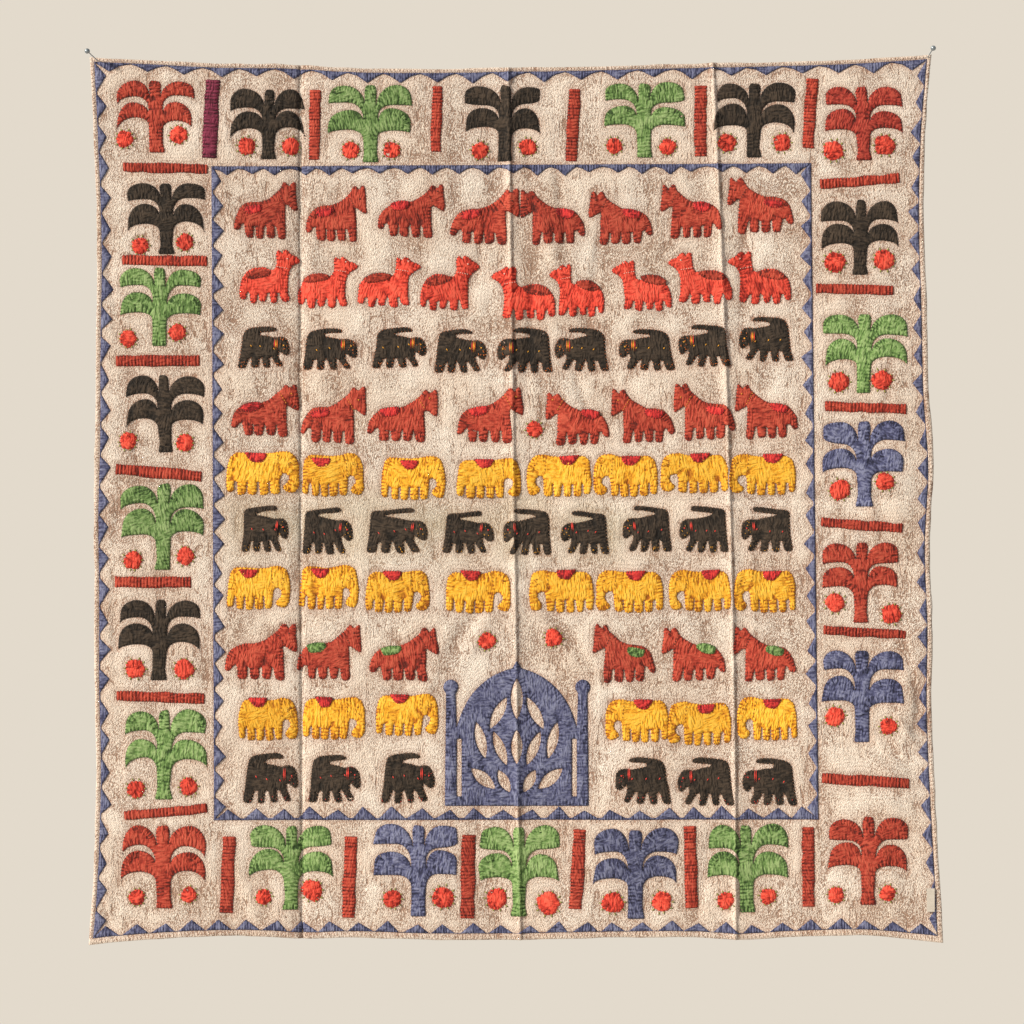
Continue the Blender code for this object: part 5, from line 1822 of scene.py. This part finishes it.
@dataclass(frozen=True)
class Herd:
    """A row of animals of one kind.

    Each place is the middle across, the width and how much lower than the row's line the
    feet stand. The first so many look right and the others left. Gaps and freckles' reach
    are in hundredths of the animal, as its outline is.
    """

    name: str
    foot: float
    height: float
    right_facing: int
    places: tuple[tuple[float, float, float], ...]
    kind: Kind
    dye: Dye
    whip: Yarn
    mark: Yarn
    saddle: Dye | None = None
    bareback: tuple[int, ...] = ()
    spots: int = 0
    freckle: Yarn | None = None
    freckles: int = 7
    freckle_reach: Point = (7.5, 17.0)
    freckle_width: float = 0.95
    collar_stitches: int = 5
    collar_cover: float = 0.7
    collar_gap: float = 2.6
    collar_yarns: tuple[Yarn, ...] = ()
    mark_width: float = 1.0
    jitter: float = 0.012

    def placed(self, shape: Sequence[Point], number: int, ragged: bool = False) -> Array:
        """Hundredths of an animal's box as places on the cloth, moved a little by hand."""
        middle, width, lower = self.places[number]
        chance = np.random.default_rng([number, round(self.foot)])
        facing = Facing.RIGHT if number < self.right_facing else Facing.LEFT
        points = np.array(shape, float) / 100
        if ragged:
            points = points + chance.uniform(-self.jitter, self.jitter, points.shape)
            points[:, 0] += 0.03 * (points[:, 1] - 0.5) * chance.uniform(-1, 1)
            points = (points - points.min(axis=0)) / np.ptp(points, axis=0)
        across = middle + facing.value * (points[:, 0] - 0.5) * width
        tall = self.height * (1 + 0.05 * chance.uniform(-1, 1))
        return np.stack([across, self.foot + lower - points[:, 1] * tall], axis=1)

    def loops(self) -> list[Loop]:
        """The animals' outlines."""
        outline = self.kind.value.outline()
        return [Loop(self.placed(outline, number, True)).softened(1.5).softened(0.6)
                for number in range(len(self.places))]

    def build(self, sewer: Sewer) -> bpy.types.Object:
        """Sews the row's animals with their saddles, eyes and collars into one piece."""
        pile, figure, sewing = Pile(self.name), self.kind.value, Sewing()
        over = sewing.lift + sewing.puff
        saddle_sewing = Sewing(base=over - 0.25, lift=0.8, puff=0.5, puff_reach=3.0, groove=1.0,
                               reach_gain=5.0, pitch=3.6, lattice=2.2, sunk=-0.9)
        for number, loop in enumerate(self.loops()):
            seed = 1000 + round(self.foot) * 10 + number
            sewer.sew(pile, [loop], self.dye.value, self.whip.value, sewing, seed)
            chance = np.random.default_rng(seed + 5)
            if self.saddle and number not in self.bareback:
                spread = np.array(figure.saddle) + chance.uniform(-1.2, 1.2, (len(figure.saddle), 2))
                spread[:, 0] += figure.saddle_drift * chance.uniform(-1, 1)
                cloth = Loop(self.placed(spread, number)).softened(1.6).softened(0.6)
                sewer.sew(pile, [cloth], self.saddle.value, self.saddle_whip.value, saddle_sewing, seed + 7)
            for start, end, yarn, wide in self.marks(number, chance):
                sewer.mark(pile, start, end, yarn.value, over, wide)
        return pile.piece(self.dye.name.lower())

    @property
    def saddle_whip(self) -> Yarn:
        """Thread of the saddle's whip stitches."""
        return {Dye.GREEN: Yarn.GREEN, Dye.RUST: Yarn.BLACK}.get(self.saddle, Yarn.RUST)

    def marks(self, number: int, chance: np.random.Generator) -> Iterator[tuple[Array, Array, Yarn, float]]:
        """The eye's two crossed stitches, the collar, the freckles and the spots of one animal.

        Yields:
            Starts, ends, yarn and width of stitches.
        """
        eye = self.placed([self.kind.value.eye], number)
        for way in ((1.3, 0.9), (-1.0, 1.2)):
            yield eye - way, eye + way, self.mark, self.mark_width
        for line, yarn in enumerate(self.collar_yarns or (self.mark,)):
            beside = [(across - self.collar_gap * line, up) for across, up in self.kind.value.collar]
            yield *self._line(number, beside, self.collar_stitches, self.collar_cover), yarn, self.mark_width
        if self.freckle:
            yield *self._freckles(number, chance), self.freckle, self.freckle_width
        for spot in range(self.spots):
            across, up = 24 + 22 * spot + chance.uniform(-4, 4), 50 + chance.uniform(-5, 5)
            ends = ((across - 2, up + 3), (across + 2, up - 3))
            yield *self._line(number, ends, 1, 0.9), self.mark, self.mark_width

    def _freckles(self, number: int, chance: np.random.Generator) -> tuple[Array, Array]:
        """Ends of short stitches strewn over the head and the feet, all within the outline."""
        head = np.array(self.kind.value.eye) + chance.uniform(-1, 1, (self.freckles, 2)) * self.freckle_reach
        feet = chance.uniform((0, 4), (85, 16), (self.freckles * 2, 2))
        middle = self.placed(np.vstack([head, feet]), number)
        inside = contains([self.loops()[number].points], middle)
        way = chance.uniform(-1, 1, middle.shape) * 0.7 + (0.3, 0.7)
        return (middle - way)[inside], (middle + way)[inside]

    def _line(self, number: int, ends: Sequence[Point], count: int, cover: float) -> tuple[Array, Array]:
        """Ends of stitches in a line between two places, each covering that share of its part."""
        first, last = self.placed(ends, number)
        share = (np.arange(count)[:, None] + np.array([0.5 - cover / 2, 0.5 + cover / 2])) / count
        return between(first, last, share[:, :1]), between(first, last, share[:, 1:])


horses = partial(Herd, kind=Kind.HORSE, dye=Dye.RUST, whip=Yarn.RUST)
elephants = partial(Herd, kind=Kind.ELEPHANT, dye=Dye.YELLOW, whip=Yarn.OCHRE, mark=Yarn.OCHRE,
                    saddle=Dye.CRIMSON, freckle=Yarn.OCHRE)
long_tails = partial(Herd, dye=Dye.BLACK, spots=3, collar_stitches=1, collar_cover=0.96, mark_width=1.7)

HERDS = (
    horses("horses_1", 218, 70, 4, (
        (-308, 81, -3), (-220, 78, 0), (-126, 85, -5), (-34, 89, 4), (51, 82, 4), (136, 81, 4),
        (224, 78, -4), (311, 84, -10)), mark=Yarn.BLACK, saddle=Dye.CRIMSON),
    Herd("calves", 300, 67, 4, (
        (-303, 76, -5), (-230, 77, 1), (-153, 81, 0), (-77, 76, 4), (14, 81, 16), (81, 70, 12),
        (162, 76, 5), (235, 82, -4), (309, 81, -4)), Kind.CALF, Dye.SCARLET, Yarn.RUST, Yarn.WHITE, Dye.RUST),
    long_tails("curl_tails_1", 378, 55, 4, (
        (-311, 65, -2), (-228, 69, 0), (-141, 69, -2), (-64, 66, 4), (16, 70, 4), (87, 69, 2),
        (169, 71, 1), (241, 66, -4), (318, 69, -10)), kind=Kind.CURL_TAIL,
        whip=Yarn.BRONZE, mark=Yarn.YELLOW, freckle=Yarn.ORANGE, freckles=12,
        collar_yarns=(Yarn.ORANGE, Yarn.YELLOW, Yarn.RED)),
    horses("horses_2", 469, 70, 4, (
        (-309, 86, -7), (-224, 84, 2), (-137, 89, 0), (-27, 84, 1), (82, 81, 4), (164, 81, 1),
        (241, 78, -2), (318, 80, -4)), mark=Yarn.YELLOW, saddle=Dye.CRIMSON),
    elephants("elephants_1", 537, 53, 4, (
        (-312, 91, -2), (-224, 79, 0), (-123, 81, 4), (-29, 81, 2), (59, 82, 0), (142, 81, 0),
        (228, 85, -4), (313, 84, -2))),
    long_tails("straight_tails", 608, 57, 4, (
        (-309, 59, -2), (-231, 64, 1), (-144, 77, 0), (-55, 65, 0), (19, 61, 2), (91, 61, 1),
        (169, 62, -2), (240, 62, -1), (319, 65, -2)), kind=Kind.STRAIGHT_TAIL,
        whip=Yarn.TAN, mark=Yarn.RED, freckle=Yarn.YELLOW, collar_yarns=(Yarn.RED, Yarn.RED)),
    elephants("elephants_2", 682, 54, 4, (
        (-317, 80, -4), (-229, 76, -4), (-143, 81, 0), (-42, 81, 1), (62, 82, 0), (147, 85, 0),
        (235, 78, -1), (316, 78, 0))),
    horses("horses_3", 768, 72, 3, (
        (-314, 91, -1), (-229, 82, -1), (-135, 88, 0), (140, 80, 2), (227, 81, 0), (316, 80, 0)),
        mark=Yarn.BLACK, saddle=Dye.GREEN, bareback=(0,)),
    elephants("elephants_3", 842, 55, 3, (
        (-305, 75, 0), (-223, 79, -1), (-131, 78, -6), (156, 79, 2), (234, 80, 6), (319, 76, 0))),
    long_tails("curl_tails_2", 921, 62, 3, (
        (-302, 69, -1), (-222, 66, -2), (-130, 68, -1), (164, 70, 0), (242, 72, 2), (322, 69, 2)),
        kind=Kind.CURL_TAIL, whip=Yarn.TAN, mark=Yarn.RED, freckle=Yarn.RED, freckles=5,
        collar_yarns=(Yarn.RED, Yarn.RED)),
)


# Middle across, drop and radius of each flower, margin first, clockwise from the top left
FLOWERS = (
    (-484, 89, 10.5), (-417, 84, 11), (-332, 98, 11), (-277, 98, 11), (-202, 103, 10.5), (-151, 103, 10.5),
    (-40, 103, 10.5), (20, 99, 10.5), (128, 97, 10), (195, 98, 10), (269, 94, 11), (338, 94, 11),
    (402, 104, 12.5), (466, 97, 12.5), (404, 243, 12.5), (465, 241, 12.5), (409, 393, 12.5), (462, 391, 12.5),
    (410, 528, 12.5), (466, 518, 11), (404, 669, 12), (474, 683, 12), (404, 811, 12), (470, 823, 10.5),
    (405, 1034, 10), (469, 1032, 10), (267, 1041, 10.5), (320, 1036, 10), (126, 1044, 13), (187, 1043, 12.5),
    (-19, 1039, 13), (45, 1045, 14), (-149, 1039, 11), (-86, 1037, 13.5), (-310, 1037, 9.5), (-250, 1029, 13),
    (-469, 1037, 10), (-404, 1034, 10), (-470, 902, 11), (-404, 899, 11), (-471, 751, 12), (-410, 752, 12),
    (-474, 616, 11), (-408, 611, 11), (-480, 467, 10.5), (-409, 469, 10.5), (-480, 339, 10.5),
    (-419, 331, 10.5), (-465, 222, 10.5), (-409, 218, 10.5), (28, 452, 10), (-31, 717, 10.5), (52, 713, 11),
)


@dataclass(frozen=True)
class Flowers:
    """Round red flowers, each ringed by short stitches that point away from its middle."""

    rays: int = 10
    inner: float = 0.9
    outer: float = 1.30
    corners: int = 14
    uneven: float = 0.12

    def loop(self, number: int) -> Loop:
        """A circle whose radius wanders a little from corner to corner."""
        across, drop, radius = FLOWERS[number]
        chance = np.random.default_rng(number)
        angle = np.arange(self.corners) * 2 * math.pi / self.corners
        reach = 1.05 * radius * (1 + chance.uniform(-self.uneven, self.uneven, self.corners))
        return Loop(np.stack([across + reach * np.cos(angle), drop + reach * np.sin(angle)], axis=1))

    def build(self, sewer: Sewer) -> bpy.types.Object:
        """Sews all flowers into one piece."""
        pile = Pile("flowers")
        sewing = Sewing(lift=1.1, puff=1.1, pitch=5.4, groove=1.9, reach=7.0, reach_gain=9.0, scallop=1.6)
        for number, (across, drop, radius) in enumerate(FLOWERS):
            sewer.sew(pile, [self.loop(number)], Dye.SCARLET.value, Yarn.RED.value, sewing, 4000 + number)
            chance = np.random.default_rng(4100 + number)
            angle = (np.arange(self.rays) + chance.uniform(-0.2, 0.2, self.rays)) * 2 * math.pi / self.rays
            way = np.stack([np.cos(angle), np.sin(angle)], axis=1)
            reach = radius * chance.uniform(0.94, 1.08, (self.rays, 1))
            middle = np.array([across, drop], float)
            first, last = middle + way * reach * self.inner, middle + way * reach * self.outer
            sewer.mark(pile, first, last, Yarn.OLIVE.value, 0.4, 2.2)
        return pile.piece("scarlet")


# Pins


@dataclass(frozen=True)
class Pin:
    """A straight pin with a ball head: its head's middle and the hole it goes through."""

    name: str
    head: tuple[float, float, float]
    hole: Point
    head_radius: float = 3.25
    shank_radius: float = 0.6
    in_wall: float = 9.0
    point_length: float = 4.0
    point_radius: float = 0.12
    shank_from: float = 9.0
    rings: int = 16
    sides: int = 28

    def build(self, hanging: Hanging) -> bpy.types.Object:
        """Turns the profile of ball, shank and point about the pin's length.

        A point of the surface is the axis point plus the radius times the cosine and sine
        of the angle along two directions square to the axis.
        """
        head = np.array([self.head[0], -self.head[1], -self.head[2]])
        depth = float(hanging.depth(np.array(self.hole[0]), np.array(self.hole[1])))
        hole = np.array([self.hole[0], -depth, -self.hole[1]])
        aim = (hole - head) / np.linalg.norm(hole - head)
        length = (self.in_wall + self.head[1]) / aim[1]
        neck = math.asin(self.shank_radius / self.head_radius)
        angle = np.linspace(0.0, math.pi - neck, self.rings)
        radius = np.concatenate([self.head_radius * np.sin(angle), [self.shank_radius] * 2,
                                 [self.point_radius, 0.0]])
        along = np.concatenate([-self.head_radius * np.cos(angle),
                                [self.shank_from, length - self.point_length, length, length]])
        aside = np.cross(aim, (0.0, 0.0, 1.0))
        aside /= np.linalg.norm(aside)
        upward = np.cross(aim, aside)
        turn = np.arange(self.sides + 1) * 2 * math.pi / self.sides
        ring = np.cos(turn)[:, None] * aside + np.sin(turn)[:, None] * upward
        points = head + along[:, None, None] * aim + radius[:, None, None] * ring
        pile = Pile(self.name + "_turned")
        rows, columns = points.shape[:2]
        pile.add(points.reshape(-1, 3) * MM, grid_faces(rows, columns), BluedSteel())
        obj = pile.piece("pin")
        self._close(obj)
        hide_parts(self.name)
        return obj

    @staticmethod
    def _close(obj: bpy.types.Object) -> None:
        """Merges the seam and the poles, and points the faces outwards."""
        mesh = bmesh.new()
        mesh.from_mesh(obj.data)
        bmesh.ops.remove_doubles(mesh, verts=mesh.verts[:], dist=0.004 * MM)
        bmesh.ops.recalc_face_normals(mesh, faces=mesh.faces[:])
        mesh.to_mesh(obj.data)
        mesh.free()


PINS = (
    Pin("left_pin", (-528.8, 24.0, -18.3), (-518.8, -9.5)),
    Pin("right_pin", (524.5, 24.0, -21.9), (519.8, -12.6)),
)


# The whole


@dataclass
class WallHanging:
    """The hanging with all that is sewn to it."""

    hanging: Hanging = field(default_factory=Hanging)
    arch: ArchPanel = field(default_factory=ArchPanel)
    flowers: Flowers = field(default_factory=Flowers)
    hem_gap: float = 0.5

    def borders(self) -> tuple[Border, Border]:
        """The outer border beside the hems and the inner one round the field."""
        hanging = self.hanging
        top, right, bottom, left = (hem + hanging.hem_slope + self.hem_gap for hem in hanging.hems)

        def corner(across: float, drop: float) -> Point:
            for _ in range(4):
                across = float(hanging.left(drop) + left if across < 0 else hanging.right(drop) - right)
                drop = float(hanging.top(across) + top if drop < 500 else hanging.bottom(across) - bottom)
            return across, drop

        corners = (corner(-500.0, 0.0), corner(500.0, 0.0), corner(500.0, 1080.0), corner(-500.0, 1080.0))

        def along_hem(side: int, share: float) -> Point:
            start, end = corners[side], corners[(side + 1) % 4]
            across, drop = (between(start[axis], end[axis], share) for axis in (0, 1))
            if side == 0:
                return across, float(hanging.top(across)) + top
            if side == 2:
                return across, float(hanging.bottom(across)) - bottom
            return float(hanging.right(drop) - right if side == 1 else hanging.left(drop) + left), drop

        outer_teeth = (Teeth(45.0, 12.5, True), Teeth(35.0, 11.5, False, 0.7), Teeth(35.0, 12.5, False, 0.7),
                       Teeth(37.5, 13.0, False, 1.3))
        field_corners = ((-376.0, 123.0), (374.0, 119.0), (383.0, 940.0), (-372.5, 941.0))

        def straight(side: int, share: float) -> Point:
            start, end = field_corners[side], field_corners[(side + 1) % 4]
            return tuple(between(start[axis], end[axis], share) for axis in (0, 1))

        inner_teeth = (Teeth(33.0, 12.5, True, 3.4), Teeth(33.0, 13.0, False, 1.8),
                       Teeth(35.0, 15.0, False, 2.6), Teeth(33.0, 13.5, False, 1.8))
        return (Border("outer_border", corners, along_hem, outer_teeth, 1),
                Border("inner_border", field_corners, straight, inner_teeth, 2))

    def build(self) -> list[bpy.types.Object]:
        """Builds every piece and returns them, the ground cloth first."""
        # Whip threads darker than their cloths: partly a painted shade for the shadowed grooves at the
        # stitches
        whip = {Dye.RUST: Yarn.RUST, Dye.DARK_RUST: Yarn.RUST, Dye.BLACK: Yarn.BLACK, Dye.GREEN: Yarn.GREEN,
                Dye.BLUE: Yarn.BLUE, Dye.PURPLE: Yarn.RUST}
        plain = Sewing()
        banded = Sewing(reach=7.0, reach_gain=14.0, groove=1.5, weakest=0.45, strongest=1.4, steady=0.75,
                        rough=0.18)
        narrow = Sewing(pitch=3.4, reach=4.0, reach_gain=8.0, groove=0.8, scallop=0.6, puff=0.4,
                        stitch_in=1.4, stitch_out=0.5, tones=0.15, rough=0.18)
        upright = replace(narrow, groove=0.35, strongest=0.5, weakest=0.0, scallop=0.35)
        palms = {palm.name: palm.loop(number) for number, palm in enumerate(PALMS)}
        bars = [bar.edges(number, banded.pitch, banded.parts) for number, bar in enumerate(BARS)]
        arch = self.arch.loops()
        loops = [*(loop for border in self.borders() for loop in border.loops()), *palms.values(),
                 *(Loop(np.vstack([first, last[::-1]])) for first, last in bars),
                 *arch, *(loop for herd in HERDS for loop in herd.loops()),
                 *(self.flowers.loop(number) for number in range(len(FLOWERS)))]
        log.info("%d outlines", len(loops))
        cloth = QuiltedCloth(self.hanging, EchoField(self.hanging, loops))
        pieces = [cloth.front(), cloth.back(), cloth.running_stitches(), cloth.hem_stitches()]
        sewer = Sewer(self.hanging)
        for number, palm in enumerate(PALMS):
            pile = Pile(palm.name + "_sewn")
            sewer.sew(pile, [palms[palm.name]], palm.dye.value, whip[palm.dye].value, plain, 100 + number)
            pieces.append(pile.piece(palm.dye.name.lower(), palm.name))
        for number, bar in enumerate(BARS):
            pile = Pile(bar.name + "_sewn")
            sewer.sew_strip(pile, *bars[number], bar.dye.value, whip[bar.dye].value, banded, 200 + number)
            pieces.append(pile.piece(bar.dye.name.lower(), bar.name))
        for border in self.borders():
            pile = Pile(border.name + "_sewn")
            for number, edges in enumerate(border.edges(narrow.pitch, narrow.parts)):
                sewing = upright if number % 2 else narrow
                sewer.sew_strip(pile, *edges, Dye.BLUE.value, Yarn.BLUE.value, sewing, 300 + number,
                                closed_ends=False)
            pieces.append(pile.piece("blue", border.name))
        pile = Pile("arch_panel_sewn")
        flat = Sewing(reach_gain=6.0, scallop=0.5, groove=0.9, tones=0.3)
        sewer.sew(pile, arch, Dye.BLUE.value, Yarn.BLUE.value, flat, 400)
        pieces.append(pile.piece("blue", "arch_panel"))
        pieces += [herd.build(sewer) for herd in HERDS]
        pieces.append(self.flowers.build(sewer))
        return pieces


@dataclass(frozen=True)
class Studio:
    """Camera straight on, raking key light from the left, soft fill and a pale floor."""

    middle_drop: float = 555.6
    distance: float = 3.0
    view_width: float = 1.28
    sensor: float = 36.0
    floor_drop: float = 1600.0
    key_strength: float = 5.2
    key_angle: float = 4.0
    key_from: tuple[float, float, float] = (-0.80, -0.42, 0.42)
    fill: float = 0.36

    def build(self) -> None:
        """Makes the camera, the light, the world and the floor."""
        scene = bpy.context.scene
        camera = bpy.data.cameras.new("camera")
        camera.sensor_width = self.sensor
        camera.lens = self.sensor * self.distance / self.view_width
        eye = bpy.data.objects.new("camera", camera)
        eye.location = (0.0, -self.distance - 12 * MM, -self.middle_drop * MM)
        eye.rotation_euler = (math.pi / 2, 0.0, 0.0)
        scene.collection.objects.link(eye)
        scene.camera = eye
        key = bpy.data.lights.new("key", "SUN")
        key.energy = self.key_strength
        key.angle = math.radians(self.key_angle)
        key.color = linear("FFF0DC")[:3]
        lamp = bpy.data.objects.new("key", key)
        lamp.rotation_mode = "QUATERNION"
        lamp.rotation_quaternion = Vector(self.key_from).to_track_quat("Z", "Y")
        scene.collection.objects.link(lamp)
        self._world(scene)
        self._floor(scene)
        scene.view_settings.view_transform = "Standard"

    def _world(self, scene: bpy.types.Scene) -> None:
        """A pale surround that gives a soft fill."""
        world = bpy.data.worlds.new("studio")
        world.use_nodes = True
        tree = world.node_tree
        tree.nodes.clear()
        fill = add(tree, "Background", {"Color": "F2ECE6", "Strength": self.fill})
        seen = add(tree, "Background", {"Color": "E3DACC", "Strength": 1.0})
        mix = add(tree, "MixShader", (add(tree, "LightPath", out="Is Camera Ray"), fill, seen))
        feed(tree.nodes.new("ShaderNodeOutputWorld"), {"Surface": mix})
        scene.world = world

    def _floor(self, scene: bpy.types.Scene) -> None:
        """A plain pale floor under the hanging."""
        mesh = bpy.data.meshes.new("floor")
        low = -self.floor_drop * MM
        mesh.from_pydata([(-3, -3, low), (3, -3, low), (3, 1.2, low), (-3, 1.2, low)], [], [(0, 1, 2, 3)])
        material, node, shader = new_tree("pale floor")
        noise = node("TexNoise", {"Vector": node("TexCoord", out="Object"), "Scale": 3.0})
        colour = node("Mix", {0: noise, 6: "DDD6CC", 7: "E6E0D8"}, **COLOURS)
        feed(shader, {"Base Color": colour, "Roughness": 0.9})
        mesh.materials.append(material)
        floor = bpy.data.objects.new("floor", mesh)
        scene.collection.objects.link(floor)


def main() -> None:
    """Builds the hanging round the frame."""
    logging.basicConfig(level=logging.INFO, format="%(message)s")
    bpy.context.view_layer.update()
    Studio().build()
    whole = WallHanging()
    pieces = whole.build()
    pins = [pin.build(whole.hanging) for pin in PINS]
    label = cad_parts["blank_label"]
    label.data.materials.clear()
    label.data.materials.append(material_of(Tape()))
    ground, rest = pieces[0], pieces[1:]
    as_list(rest)


if __name__ == "__main__":
    main()
